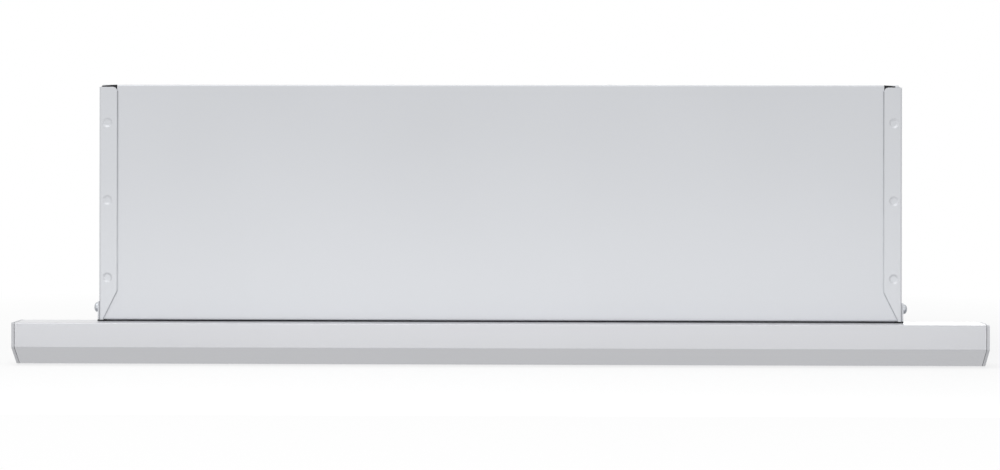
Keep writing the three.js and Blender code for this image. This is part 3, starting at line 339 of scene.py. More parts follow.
def sprayed_paint(name, colour, roughness, peel_depth, wear, dust, gloss):
    """Paint on sheet: orange peel, faint flecks, lighter rubbed edges and a little dust on top."""
    coat = {"Coat_Weight": gloss, "Coat_Roughness": COAT_ROUGHNESS}
    made, tree, shader = new_finish(name, metallic=PAINT_METALLIC, **coat)
    texture = use_effect(tree, "paint texture")
    rubbed = use_effect(tree, "edge wear", {"Radius": 0.5 * MM, "Amount": wear})["Mask"]
    dusty = use_effect(tree, "settled dust", {"Amount": dust})["Mask"]
    patch = cloudy(tree, texture["Patch"])
    tint = mix_colour(tree, patch, linear(darker(colour, PAINT_SHADE)), linear(colour))
    fleck = math_step(tree, "MULTIPLY", texture["Fleck"], FLECK_SHARE)
    flecked = mix_colour(tree, fleck, tint, linear(PAINT_FLECK))
    worn = mix_colour(tree, rubbed, flecked, linear(PAINT_FLECK))
    settled = mix_colour(tree, dusty, worn, linear(DUST))
    tree.links.new(settled, shader["Base Color"])
    dull = math_step(tree, "MULTIPLY", dusty, DUST_DULLS)
    even = cloudy(tree, texture["Patch"], roughness - PAINT_SWING, roughness + PAINT_SWING)
    tree.links.new(math_step(tree, "ADD", even, dull), shader["Roughness"])
    set_bump(tree, shader, texture["Height"], peel_depth)
    return made


def moulded_plastic(name, colour, roughness, grain=1500.0, depth=0.015 * MM, wear=0.25):
    """Moulded plastic: eroded grain, slow shade changes and paler rubbed edges."""
    made, tree, shader = new_finish(name)
    texture = use_effect(tree, "moulded grain", {"Scale": grain})
    rubbed = use_effect(tree, "edge wear", {"Radius": 0.4 * MM, "Amount": wear})["Mask"]
    patch = cloudy(tree, texture["Patch"])
    tint = mix_colour(tree, patch, linear(darker(colour, PLASTIC_SHADE)), linear(colour))
    paler = tuple(min(255, channel + RUBBED_PALER) for channel in colour)
    worn = mix_colour(tree, rubbed, tint, linear(paler))
    tree.links.new(worn, shader["Base Color"])
    rough = cloudy(tree, texture["Patch"], roughness - PLASTIC_SWING, roughness + PLASTIC_SWING)
    tree.links.new(rough, shader["Roughness"])
    set_bump(tree, shader, texture["Height"], depth)
    return made


def plated_steel(name, bright, dull, roughness, spangle=190.0, wear=0.3):
    """Plated steel: crystals of slightly different shade, with brighter rubbed edges."""
    made, tree, shader = new_finish(name, metallic=1.0)
    crystals = use_effect(tree, "zinc spangle", {"Scale": spangle})
    rubbed = use_effect(tree, "edge wear", {"Radius": 0.35 * MM, "Amount": wear})["Mask"]
    tint = mix_colour(tree, crystals["Shade"], linear(dull), linear(bright))
    worn = mix_colour(tree, rubbed, tint, linear(PAINT_FLECK))
    tree.links.new(worn, shader["Base Color"])
    rough = remap(tree, crystals["Sheen"], 0.0, 1.0, roughness - ZINC_SWING, roughness + ZINC_SWING)
    tree.links.new(rough, shader["Roughness"])
    set_bump(tree, shader, crystals["Height"], depth=0.008 * MM)
    return made


def rolled_aluminium(name):
    """Rolled aluminium sheet with fine lines and a trace of dust."""
    made, tree, shader = new_finish(name, metallic=1.0)
    lines = use_effect(tree, "rolled lines")
    rubbed = use_effect(tree, "edge wear", {"Radius": 0.3 * MM, "Amount": 0.4})["Mask"]
    tint = mix_colour(tree, lines["Shade"], linear(darker(ALUMINIUM, ALUMINIUM_SHADE)), linear(ALUMINIUM))
    worn = mix_colour(tree, rubbed, tint, linear(PAINT_FLECK))
    tree.links.new(worn, shader["Base Color"])
    tree.links.new(remap(tree, lines["Shade"], 0.0, 1.0, to_low=0.3, to_high=0.42), shader["Roughness"])
    set_bump(tree, shader, lines["Height"], depth=0.01 * MM)
    return made


def clear_glass(name):
    """Toughened glass with faint smears."""
    made, tree, shader = new_finish(name, Transmission_Weight=1.0, IOR=GLASS_IOR)
    place = object_place(tree, SMEAR_STRETCH)
    smear = remap(tree, noise(tree, place, scale=9.0, detail=5.0, roughness=0.6), 0.45, 0.75)
    tint = mix_colour(tree, smear, linear(GLASS_TINT), linear(darker(GLASS_TINT, GLASS_SHADE)))
    tree.links.new(tint, shader["Base Color"])
    tree.links.new(remap(tree, smear, 0.0, 1.0, to_low=0.02, to_high=0.12), shader["Roughness"])
    return made


def frosted_lens(name):
    """Frosted cover of a lamp, part see-through, with a fine grain."""
    made, tree, shader = new_finish(name, Transmission_Weight=LENS_CLEAR, IOR=LENS_IOR)
    texture = use_effect(tree, "moulded grain", {"Scale": 900.0})
    patch = cloudy(tree, texture["Patch"])
    tint = mix_colour(tree, patch, linear(darker(LENS_WHITE, LENS_SHADE)), linear(LENS_WHITE))
    tree.links.new(tint, shader["Base Color"])
    tree.links.new(cloudy(tree, texture["Patch"], low=0.28, high=0.4), shader["Roughness"])
    set_bump(tree, shader, texture["Height"], depth=0.03 * MM)
    return made


def printed_white(name):
    """Pad-printed white ink, a little uneven."""
    made, tree, shader = new_finish(name)
    cover = remap(tree, noise(tree, object_place(tree), scale=900.0), 0.25, 0.6)
    tint = mix_colour(tree, cover, linear(darker(PRINT_WHITE, PRINT_SHADE)), linear(PRINT_WHITE))
    tree.links.new(tint, shader["Base Color"])
    tree.links.new(remap(tree, cover, 0.0, 1.0, to_low=0.6, to_high=0.45), shader["Roughness"])
    return made


def shadow_plate_finish(name):
    """Painted shadow: a near-black finish that hardly catches the light, for plates that stand in for
    shadowed gaps.
    """
    made, tree, shader = new_finish(name, Specular_IOR_Level=SHADOW_GLOSS)
    cloud = cloudy(tree, noise(tree, object_place(tree), scale=300.0, detail=4.0, roughness=0.6))
    tint = mix_colour(tree, cloud, linear(SHADOW_BLACK), linear(SHADOW_DUSK))
    tree.links.new(tint, shader["Base Color"])
    tree.links.new(remap(tree, cloud, 0.0, 1.0, to_low=0.55, to_high=0.75), shader["Roughness"])
    return made


def shade_in_seams(name):
    """Painted shade in a seam: darkest near the top, hardly any lower down, and some on the slanted end.
    """
    made, tree, shader = new_finish(name, Roughness=SEAM_SHADE_ROUGHNESS)
    height = add_node(tree, "ShaderNodeSeparateXYZ", {"Vector": object_place(tree)}).outputs["Z"]
    upper = remap(tree, height, SEAM_SHADE_END, SEAM_SHADE_TOP)
    foot = remap(tree, height, SEAM_SHADE_FOOT + MM, SEAM_SHADE_FOOT - MM, 0.0, SEAM_SHADE_ON_SLANT)
    uneven = noise(tree, object_place(tree), SEAM_SHADE_NOISE_SCALE, detail=2.0)
    shade_wobble = cloudy(tree, uneven, -SEAM_SHADE_NOISE_SWING, SEAM_SHADE_NOISE_SWING)
    amount = math_step(tree, "ADD", math_step(tree, "MAXIMUM", upper, foot), shade_wobble)
    tint = mix_colour(tree, amount, linear(SEAM_PALE), linear(SEAM_DARK))
    tree.links.new(tint, shader["Base Color"])
    return made


FINISHES = {
    "body_paint": sprayed_paint(
        "body_paint_finish", PAINT_SILVER, roughness=0.42, peel_depth=0.012 * MM,
        wear=0.3, dust=0.1, gloss=0.15,
    ),
    "bar_paint": sprayed_paint(
        "bar_paint_finish", PAINT_BAR, roughness=0.36, peel_depth=0.008 * MM,
        wear=0.25, dust=0.05, gloss=1.0,
    ),
    "cap_plastic": moulded_plastic(
        "cap_plastic_finish", CAP_SILVER, roughness=0.45, grain=1900.0, depth=0.006 * MM, wear=0.2,
    ),
    "zinc_steel": plated_steel("zinc_steel_finish", ZINC_BRIGHT, ZINC_DULL, roughness=0.36),
    "grey_plastic": moulded_plastic("grey_plastic_finish", PLASTIC_GREY, roughness=0.5),
    "black_plastic": moulded_plastic("black_plastic_finish", PLASTIC_BLACK, roughness=0.48, wear=0.12),
    "white_plastic": moulded_plastic(
        "white_plastic_finish", PLASTIC_WHITE, roughness=0.42, grain=1700.0, depth=0.01 * MM,
    ),
    "filter_aluminium": rolled_aluminium("filter_aluminium_finish"),
    "visor_glass": clear_glass("visor_glass_finish"),
    "lamp_lens": frosted_lens("lamp_lens_finish"),
}
PRINT = printed_white("printed_white_finish")
# Painted shadow for the dark plates at the flange corners and the slit's ends
SHADOW_FINISH = shadow_plate_finish("painted_shadow_plates")
# Painted shade for the seam lines beside the flanges
SEAM = shade_in_seams("seam_shade_finish")
SLOT_OF = {part["node"]: part["material_slot"] for part in frame["record"]["subparts"]}


# ---------------------------------------------------------------- CAD nodes carried over

SAME_POINT = 1e-6
ROUND_STEPS = 2


def even_shading_tree():
    """Modifier tree: joins split corners, shades curves smoothly and keeps creases crisp."""
    tree = bpy.data.node_groups.new("even_shading", "GeometryNodeTree")
    tree.interface.new_socket("Geometry", in_out="INPUT", socket_type="NodeSocketGeometry")
    tree.interface.new_socket("Geometry", in_out="OUTPUT", socket_type="NodeSocketGeometry")
    start = tree.nodes.new("NodeGroupInput")
    unwanted = {"Geometry": start.outputs[0], "Name": "custom_normal"}
    bare = add_node(tree, "GeometryNodeRemoveAttribute", unwanted)
    near = {"Geometry": bare.outputs[0], "Distance": SAME_POINT}
    joined = add_node(tree, "GeometryNodeMergeByDistance", near)
    smooth = add_node(tree, "GeometryNodeSetShadeSmooth", {"Geometry": joined.outputs[0]}, domain="FACE")
    angle = tree.nodes.new("GeometryNodeInputMeshEdgeAngle").outputs["Unsigned Angle"]
    crease = math_step(tree, "GREATER_THAN", angle, CREASE)
    sharp = add_node(
        tree, "GeometryNodeSetShadeSmooth",
        {"Geometry": smooth.outputs[0], "Selection": crease, "Shade Smooth": False}, domain="EDGE",
    )
    finish = tree.nodes.new("NodeGroupOutput")
    tree.links.new(sharp.outputs[0], finish.inputs[0])
    return tree


def break_edges(piece, width):
    """A small round on a piece's creases, as a modifier."""
    rounding = piece.modifiers.new("broken_edges", "BEVEL")
    rounding.width = width
    rounding.segments = ROUND_STEPS
    rounding.limit_method = "ANGLE"
    rounding.angle_limit = CREASE


def soften(node, width):
    """Smooth shading and a small round on the creases of a CAD node, as modifiers."""
    node.modifiers.new("even_shading", "NODES").node_group = EVEN_SHADING
    if width:
        break_edges(node, width)
    flat = node.modifiers.new("flat_faces", "WEIGHTED_NORMAL")
    flat.weight = 100
    flat.keep_sharp = True


EVEN_SHADING = even_shading_tree()
EDGE_ROUND = {
    "body_paint": 0.15 * MM, "bar_paint": 0.0, "cap_plastic": 0.2 * MM, "grey_plastic": 0.25 * MM,
    "black_plastic": 0.25 * MM, "white_plastic": 0.3 * MM, "visor_glass": 0.4 * MM,
    "zinc_steel": 0.12 * MM, "filter_aluminium": 0.15 * MM,
}


def dress_nodes():
    """Every CAD node gets its finish, even shading and slightly broken edges."""
    for name, node in CAD_NODES.items():
        slot = SLOT_OF[name]
        node.data.materials.clear()
        node.data.materials.append(FINISHES[slot])
        soften(node, EDGE_ROUND.get(slot, 0.0))


dress_nodes()


# ---------------------------------------------------------------- mesh building

NO_RADIUS = 0.001 * MM


def add_ring(bm, where, radius, height, steps):
    """A ring of points at a height, or a single point at no radius."""
    if radius < NO_RADIUS:
        return [bm.verts.new(where @ Vector((0, 0, height)))]
    turns = [2 * math.pi * i / steps for i in range(steps)]
    points = [(radius * math.cos(turn), radius * math.sin(turn), height) for turn in turns]
    return [bm.verts.new(where @ Vector(point)) for point in points]


def add_turned(bm, profile, steps, where=Matrix(), closed=False):
    """A turned form: (radius, height) pairs spun about the Z axis of a place."""
    rings = [add_ring(bm, where, radius, height, steps) for radius, height in profile]
    pairs = list(zip(rings, rings[1:]))
    if closed:
        pairs.append((rings[-1], rings[0]))
    for low, high in pairs:
        for i in range(steps):
            j = (i + 1) % steps
            loop = [low[i % len(low)], low[j % len(low)], high[j % len(high)], high[i % len(high)]]
            bm.faces.new(list(dict.fromkeys(loop)))


def add_prism(bm, outline, low, high, where=Matrix()):
    """An outline in X and Y, raised between two heights."""
    bottom = [bm.verts.new(where @ Vector((x, y, low))) for x, y in outline]
    top = [bm.verts.new(where @ Vector((x, y, high))) for x, y in outline]
    bm.faces.new(bottom[::-1])
    bm.faces.new(top)
    count = len(outline)
    for i in range(count):
        j = (i + 1) % count
        bm.faces.new([bottom[i], bottom[j], top[j], top[i]])


def add_box(bm, low, high):
    """A box between two corners."""
    outline = [(low[0], low[1]), (high[0], low[1]), (high[0], high[1]), (low[0], high[1])]
    add_prism(bm, outline, low[2], high[2])


def new_mesh(name, bm):
    """A mesh from a bmesh, shaded smoothly between its creases."""
    bmesh.ops.recalc_face_normals(bm, faces=bm.faces)
    for face in bm.faces:
        face.smooth = True
    for edge in bm.edges:
        edge.smooth = edge.calc_face_angle(math.pi) < CREASE
    mesh = bpy.data.meshes.new(name)
    bm.to_mesh(mesh)
    bm.free()
    return mesh


def carved(mesh, *cutters):
    """A mesh with other meshes cut out of it."""
    scene = bpy.context.scene.collection
    body = bpy.data.objects.new("carving", mesh)
    scene.objects.link(body)
    tools = [bpy.data.objects.new("cutter", cutter) for cutter in cutters]
    for tool in tools:
        scene.objects.link(tool)
        cut = body.modifiers.new("cut", "BOOLEAN")
        cut.object = tool
        cut.operation = "DIFFERENCE"
        cut.solver = "EXACT"
    graph = bpy.context.evaluated_depsgraph_get()
    made = bpy.data.meshes.new_from_object(body.evaluated_get(graph))
    for spent in (body, *tools):
        bpy.data.objects.remove(spent)
    bm = bmesh.new()
    bm.from_mesh(made)
    return new_mesh(mesh.name + "_cut", bm)


def place_piece(name, mesh, body, slot, stands_for=(), where=None, finish=None, edge=0.0):
    """A piece of the hood with its finish, its CAD body and the CAD nodes that it stands for."""
    piece = bpy.data.objects.new(name, mesh)
    bpy.context.scene.collection.objects.link(piece)
    if where is not None:
        piece.matrix_world = where
    if not mesh.materials:
        mesh.materials.append(finish or FINISHES[slot])
    if edge:
        break_edges(piece, edge)
    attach(piece, body)
    if stands_for:
        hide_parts(*stands_for)
    return piece


def pointing(foot, direction):
    """A place whose Z axis runs along a direction."""
    return Matrix.Translation(foot) @ direction.to_track_quat("Z", "Y").to_matrix().to_4x4()


# ---------------------------------------------------------------- screws

SCREW_STEPS = 36
THREAD_PITCH = 0.7 * MM
THREAD_ROOT = 0.8
HEAD_RADIUS = 3 * MM
HEAD_RIM = 0.45
RECESS_WIDTH = 0.75 * MM
RECESS_REACH = 0.52
RECESS_FLOOR = 0.25
# Head height, shank length and shank radius
SCREW_KINDS = {
    "side_screw": (3.2 * MM, 7 * MM, 1.6 * MM),
    "rail_screw": (1.5 * MM, 2.2 * MM, 1.6 * MM),
    "bar_screw": (2 * MM, 11 * MM, 1.8 * MM),
    "outlet_screw": (1.2 * MM, 2.9 * MM, 1.6 * MM),
}
SCREW_SEED = 7


def cross_recess(head_radius, head_height):
    """The driver's recess as a solid cross that reaches out above the head."""
    bm = bmesh.new()
    reach = head_radius * RECESS_REACH
    half = RECESS_WIDTH / 2
    top = head_height + 1 * MM
    floor = head_height * RECESS_FLOOR
    cross = [
        (reach, -half), (reach, half), (half, half), (half, reach), (-half, reach), (-half, half),
        (-reach, half), (-reach, -half), (-half, -half), (-half, -reach), (half, -reach), (half, -half),
    ]
    add_prism(bm, cross, floor, top)
    return new_mesh("cross_recess", bm)


def screw_mesh(name, head_radius, head_height, shank_radius, shank_length):
    """A pan-head screw: domed head with a cross recess, and a threaded shank."""
    bm = bmesh.new()
    dome = [
        (head_radius * math.cos(a), head_height * (HEAD_RIM + (1 - HEAD_RIM) * math.sin(a)))
        for a in [math.radians(d) for d in range(0, 91, 15)]
    ]
    turns = max(1, round(shank_length / THREAD_PITCH))
    pitch = shank_length / turns
    thread = []
    for i in range(turns):
        thread.append((shank_radius, -(i + 0.5) * pitch))
        thread.append((shank_radius * THREAD_ROOT, -(i + 1) * pitch))
    neck = (shank_radius * THREAD_ROOT, 0.0)
    profile = [(0.0, -shank_length), *thread[::-1], neck, (head_radius, 0.0), *dome]
    add_turned(bm, profile, SCREW_STEPS)
    return carved(new_mesh(name, bm), cross_recess(head_radius, head_height))


def fit_screws():
    """A real screw in place of each plain one, with its head out along its own direction."""
    fixed_way = {"bar_screw": Y, "outlet_screw": Z}
    chance = random.Random(SCREW_SEED)
    for kind, (head, shank, shank_radius) in SCREW_KINDS.items():
        names = [name for name in CAD_NODES if name.startswith(kind)]
        mesh = screw_mesh(kind, HEAD_RADIUS, head, shank_radius, shank)
        for name in names:
            low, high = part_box(name)
            middle = (low + high) / 2
            way = fixed_way.get(kind, X * math.copysign(1, middle.x))
            half_length = abs((high - low).dot(way)) / 2
            foot = middle + way * (half_length - head)
            turned = Matrix.Rotation(chance.uniform(0, math.pi / 2), 4, "Z")
            body = "visor" if kind == "bar_screw" else "hood"
            where = pointing(foot, way) @ turned
            place_piece("fine_" + name, mesh, body, SLOT_OF[name], (name,), where)


fit_screws()


# ---------------------------------------------------------------- grease filters

CELL_LONG = 7.0 * MM
CELL_SHORT = 3.6 * MM
STRAND = 0.75 * MM
STRAND_THICK = 0.5 * MM
STRAND_TILT = 0.3
MESH_LAYERS = 3
MESH_INSET = 1 * MM


def add_strand(bm, low_x, y, z, count, mirrored):
    """One zigzag strand of expanded metal along X, as a ribbon with four sides."""
    swing = CELL_SHORT / 2 - STRAND / 4
    rows = []
    for i in range(count * 2 + 1):
        x = low_x + i * CELL_LONG / 2
        up = (i % 2 == 0) != mirrored
        side = swing / 2 if up else -swing / 2
        tilt = STRAND_THICK * (STRAND_TILT if up else -STRAND_TILT)
        middle = Vector((x, y + side, z + tilt))
        offsets = [(-1, -1), (1, -1), (1, 1), (-1, 1)]
        rows.append([
            bm.verts.new(middle + Vector((0, a * STRAND / 2, b * STRAND_THICK / 2))) for a, b in offsets
        ])
    bm.faces.new(rows[0])
    bm.faces.new(rows[-1][::-1])
    for near, far in zip(rows, rows[1:]):
        for i in range(4):
            j = (i + 1) % 4
            bm.faces.new([near[i], near[j], far[j], far[i]])


def add_expanded_sheet(bm, low, high, z, shift):
    """A sheet of expanded metal between two corners: strands that meet at their knuckles."""
    across = int((high.x - low.x) / CELL_LONG) - shift
    rows = int((high.y - low.y - STRAND) / CELL_SHORT * 2)
    spare_x = (high.x - low.x - across * CELL_LONG) / 2
    spare_y = (high.y - low.y - (rows - 1) * CELL_SHORT / 2) / 2
    for row in range(rows):
        y = low.y + spare_y + row * CELL_SHORT / 2
        add_strand(bm, low.x + spare_x, y, z, across, row % 2 == 1)


def fit_filter_meshes():
    """Layers of expanded aluminium in place of each plain pad."""
    for side in SIDES:
        name = "filter_mesh_" + side
        low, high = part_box(name)
        bm = bmesh.new()
        inset = Vector((MESH_INSET, MESH_INSET, 0))
        step = (high.z - low.z - 2 * STRAND_THICK) / (MESH_LAYERS - 1)
        for layer in range(MESH_LAYERS):
            z = low.z + STRAND_THICK + layer * step
            add_expanded_sheet(bm, low + inset, high - inset, z, layer % 2)
        mesh = new_mesh(name, bm)
        place_piece("fine_" + name, mesh, "filter_" + side, "filter_aluminium", (name,))


fit_filter_meshes()


# ---------------------------------------------------------------- blower wheel

BLADES = 16
BLADE_ARC_STEPS = 7
BLADE_LEAD = 4.2 * MM
BLADE_CURVE = 2.2
BLADE_THICK = 1 * MM
BLADE_INSET = 0.6 * MM
BLADE_END = 1 * MM
WHEEL_STEPS = 96
RING_DEEP = 7.5 * MM
RING_LONG = 3 * MM
RING_CHAMFER = 0.6 * MM
WHEEL_BORE = 4.3 * MM
DISC_HALF = 1.5 * MM
DISC_INSET = 1 * MM


def blade_outline(inner, outer, thick):
    """A forward-curved blade's section: an arc with even thickness."""
    front, back = [], []
    for i in range(BLADE_ARC_STEPS):
        share = i / (BLADE_ARC_STEPS - 1)
        radius = inner + (outer - inner) * share
        lead = BLADE_LEAD * share ** BLADE_CURVE
        front.append((radius, lead))
        back.append((radius, lead + thick))
    return front + back[::-1]


def wheel_mesh(low, high):
    """Two-sided blower wheel: end rings, middle disc with a boss, and curved blades."""
    half = (high.x - low.x) / 2
    outer = (high.z - low.z) / 2
    inner = outer - RING_DEEP
    bm = bmesh.new()
    spin = X.to_track_quat("Z", "Y").to_matrix().to_4x4()
    for end in (-1, 1):
        edge = end * half
        lip = end * (half - RING_LONG)
        chamfer = [(outer, edge - end * RING_CHAMFER), (outer - RING_CHAMFER, edge)]
        ring = [(inner, lip), (outer, lip), *chamfer, (inner, edge)]
        add_turned(bm, ring, WHEEL_STEPS, spin, closed=True)
    rim = [(outer - DISC_INSET, -DISC_HALF), (outer - DISC_INSET, DISC_HALF)]
    boss = [(14 * MM, DISC_HALF), (10 * MM, 4 * MM), (9.5 * MM, 12 * MM), (WHEEL_BORE, 12 * MM)]
    add_turned(bm, [(WHEEL_BORE, -DISC_HALF), *rim, *boss], WHEEL_STEPS, spin, closed=True)
    outline = blade_outline(inner + BLADE_INSET, outer - BLADE_INSET, BLADE_THICK)
    for i in range(BLADES):
        place = spin @ Matrix.Rotation(2 * math.pi * i / BLADES, 4, "Z")
        add_prism(bm, outline, -half + BLADE_END, half - BLADE_END, place)
    return new_mesh("fan_wheel", bm)


def fit_wheel():
    """The moulded wheel in place of the plain one."""
    low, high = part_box("fan_wheel")
    where = Matrix.Translation((low + high) / 2)
    mesh = wheel_mesh(low, high)
    place_piece("moulded_wheel", mesh, "blower_rotor", "black_plastic", ("fan_wheel",), where)


fit_wheel()


# ---------------------------------------------------------------- lamps and controls

RIB_PITCH = 1.4 * MM
RIB_RISE = 0.35 * MM
LENS_SEAT = 0.9 * MM
LENS_RIM = 3.3 * MM


def lens_mesh(name, low, high):
    """A lamp cover: a rim on its seat, and a ribbed window that stands out below it."""
    bm = bmesh.new()
    seat = low.z + LENS_SEAT
    add_box(bm, (low.x, low.y, seat), (high.x, high.y, high.z))
    left, right = low.x + LENS_RIM, high.x - LENS_RIM
    ribs = int((high.x - low.x - 2 * LENS_RIM) / RIB_PITCH)
    start = (low.x + high.x - ribs * RIB_PITCH) / 2
    outline = [(left, seat), (left, low.z)]
    for i in range(ribs):
        x = start + i * RIB_PITCH
        outline += [(x, low.z), (x + RIB_PITCH / 2, low.z + RIB_RISE)]
    outline += [(start + ribs * RIB_PITCH, low.z), (right, low.z), (right, seat)]
    add_prism(bm, outline, -(high.y - LENS_RIM), -(low.y + LENS_RIM), UPRIGHT)
    return new_mesh(name, bm)


def fit_lenses():
    """Ribbed frosted covers in place of the plain lamp plates."""
    for side in SIDES:
        name = "lamp_lens_" + side
        mesh = lens_mesh(name, *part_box(name))
        place_piece("ribbed_" + name, mesh, "hood", "lamp_lens", (name,))


fit_lenses()


MARK_SIZE = 3.4 * MM
MARK_INK = 0.05 * MM
MARK_GAP = 0.8
STEP_TRAVEL = 6 * MM
PLATE_FOOT = 1.5 * MM
PLATE_TOP = 2.5 * MM
STEM_HALF = 2 * MM
STEM_OVERLAP = 0.5 * MM
GRIP_OVERLAP = 0.2 * MM
GRIP_TEETH = 4
TOOTH_DEEP = 0.45 * MM
KNOB_ROUND = 0.15 * MM


def printed_mark(name, text, x, y, z):
    """A small printed figure that faces down and reads from the front."""
    curve = bpy.data.curves.new(name, "FONT")
    curve.body = text
    curve.size = MARK_SIZE
    curve.extrude = MARK_INK / 2
    curve.align_x = "CENTER"
    curve.align_y = "CENTER"
    curve.materials.append(PRINT)
    mark = bpy.data.objects.new(name, curve)
    bpy.context.scene.collection.objects.link(mark)
    mark.matrix_world = Matrix.Translation((x, y, z - MARK_INK / 2)) @ Matrix.Rotation(math.pi, 4, "X")
    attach(mark, "hood")


def print_scales():
    """The steps of the speed slider and the two places of the lamp slider."""
    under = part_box("control_fascia")[0].z
    for knob, figures in {"speed": "0123", "light": "01"}.items():
        low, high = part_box(knob + "_slider")
        middle = (low + high) / 2
        y = middle.y - (high.y - low.y) / 2 - MARK_SIZE * MARK_GAP
        for i, figure in enumerate(figures):
            printed_mark(f"{knob}_scale_{figure}", figure, middle.x + i * STEP_TRAVEL, y, under)


def slider_mesh(name, low, high):
    """A slider knob: base plate, stem, and a ridged grip that faces down."""
    bm = bmesh.new()
    middle = (low + high) / 2
    plate_low, plate_high = low.z + PLATE_FOOT, low.z + PLATE_TOP
    add_box(bm, (low.x, low.y, plate_low), (high.x, high.y, plate_high))
    left, right = middle.x - STEM_HALF, middle.x + STEM_HALF
    stem_low = (left, middle.y - STEM_HALF, plate_low + STEM_OVERLAP)
    add_box(bm, stem_low, (right, middle.y + STEM_HALF, high.z))
    pitch = 2 * STEM_HALF / GRIP_TEETH
    outline = [(left, plate_low + GRIP_OVERLAP)]
    for i in range(GRIP_TEETH):
        x = left + i * pitch
        outline += [(x, low.z), (x + pitch / 2, low.z), (x + pitch * 0.75, low.z + TOOTH_DEEP)]
    outline += [(right, low.z), (right, plate_low + GRIP_OVERLAP)]
    add_prism(bm, outline, -high.y, -low.y, UPRIGHT)
    return new_mesh(name, bm)


def fit_sliders():
    """Ridged knobs in place of the plain ones."""
    for knob in ("speed", "light"):
        name = knob + "_slider"
        mesh = slider_mesh(name, *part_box(name))
        body = knob + "_knob"
        place_piece("ridged_" + name, mesh, body, "black_plastic", (name,), edge=KNOB_ROUND)


print_scales()
fit_sliders()


# ---------------------------------------------------------------- cable gland

GLAND_STEPS = 64
GLAND_WALL = 2.9 * MM
GLAND_BORE = 6.5 * MM
GLAND_FLANGE = 1.9 * MM


def fit_gland():
    """The gland with a rounded flange and a lipped mouth, in place of the plain one."""
    low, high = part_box("cable_gland")
    middle = (low + high) / 2
    flange = (high.x - low.x) / 2
    body = flange - GLAND_WALL
    bore = flange - GLAND_BORE
    rise = high.z - GLAND_FLANGE
    profile = [
        (bore, low.z), (body, low.z), (body, rise + 0.3 * MM), (flange - 0.3 * MM, rise + 0.3 * MM),
        (flange, rise + 0.6 * MM), (flange, rise + 0.9 * MM), (flange - 0.8 * MM, rise + 1.5 * MM),
        (flange - 2.2 * MM, high.z), (bore + 1.4 * MM, high.z), (bore + 1 * MM, high.z - 0.2 * MM),
        (bore, high.z - 0.9 * MM),
    ]
    bm = bmesh.new()
    add_turned(bm, profile, GLAND_STEPS, Matrix.Translation((middle.x, middle.y, 0)), closed=True)
    mesh = new_mesh("cable_gland", bm)
    place_piece("moulded_gland", mesh, "hood", "black_plastic", ("cable_gland",))


fit_gland()


# ---------------------------------------------------------------- painted shade at the side panels' seams and corners, and at the slit

# The flange's top corner and slanted lower end, as the side panels have them
FLANGE_UNDER = 0.5 * MM
FLANGE_CORNER = 2.5 * MM
SLANT_HEIGHT = 18 * MM
SLANT_FOOT = 1.5 * MM
SLANT_TIP = 2.7 * MM
SEAM_WIDTH = 0.6 * MM
SEAM_THICK = 0.3 * MM

# Painted shadow where body and side panel meet, as a thin dark plate; it starts further in on the right
# than on the left
CORNER_SHADE_THICK = 0.05 * MM
SHADE_PLATE_GAP = 0.025 * MM
CORNER_SHADE_UNDER = 3.5 * MM
CORNER_SHADE_SLOPE = 0.6 * MM
CORNER_SHADE_OUTER = {"left": 1.6 * MM, "right": 4.2 * MM}

# Painted shadow at the ends of the slit between body and bar, as thin dark plates
SLIT_PLAY = 0.15 * MM
SLIT_SHADE_LONG = 5 * MM
SLIT_SHADE_DEEP = 4 * MM


def upright_plate(name, outline, front, rear, slot, finish):
    """A thin plate that faces the front, from an outline in X and Z."""
    bm = bmesh.new()
    add_prism(bm, outline, -rear, -front, UPRIGHT)
    return place_piece(name, new_mesh(name, bm), "hood", slot, finish=finish)


def panel_edges(side):
    """The outer and inner edge of a side panel's flanges."""
    low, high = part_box("side_panel_" + side)
    return (low.x, high.x) if side == "left" else (high.x, low.x)


def shade_flange_corners():
    """A thin dark plate over each front flange's top corner: painted shadow where the side panel's top
    flange meets the body.
    """
    for side, way in SIDES.items():
        outer, inner = panel_edges(side)
        low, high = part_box("body_shell")
        top = high.z
        face = low.y
        out = outer - way * CORNER_SHADE_OUTER[side]
        foot = top - CORNER_SHADE_UNDER
        outline = [(out, foot), (inner, foot), (inner, top), (out, top - CORNER_SHADE_SLOPE)]
        front = face - SHADE_PLATE_GAP - CORNER_SHADE_THICK
        upright_plate("corner_shadow_" + side, outline, front, face - SHADE_PLATE_GAP, "body_paint", SHADOW_FINISH)


def shade_slit_ends():
    """Short dark plates at the ends of the slit, under the tray's lapping walls: painted shadow of the
    slit.
    """
    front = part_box("body_shell")[0].y
    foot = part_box("body_shell")[0].z - SHADE_PLATE_GAP
    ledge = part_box("front_bar")[1].z + SLIT_PLAY
    for side, way in SIDES.items():
        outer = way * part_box("base_frame")[1].x
        inner = outer - way * SLIT_SHADE_LONG
        outline = [(outer, ledge), (inner, ledge), (inner, foot), (outer, foot)]
        rear = front + SLIT_SHADE_DEEP
        upright_plate("slit_shadow_" + side, outline, front, rear, "body_paint", SHADOW_FINISH)


def seam_outline(side, way):
    """A narrow band beside a flange's inner edge and its slanted end."""
    low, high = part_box("side_panel_" + side)
    outer, inner = panel_edges(side)
    edge = [(inner, high.z - FLANGE_UNDER - FLANGE_CORNER), (inner, low.z + SLANT_HEIGHT),
            (outer - way * SLANT_TIP, low.z + SLANT_FOOT)]
    return edge + [(x - way * SEAM_WIDTH, z) for x, z in reversed(edge)]


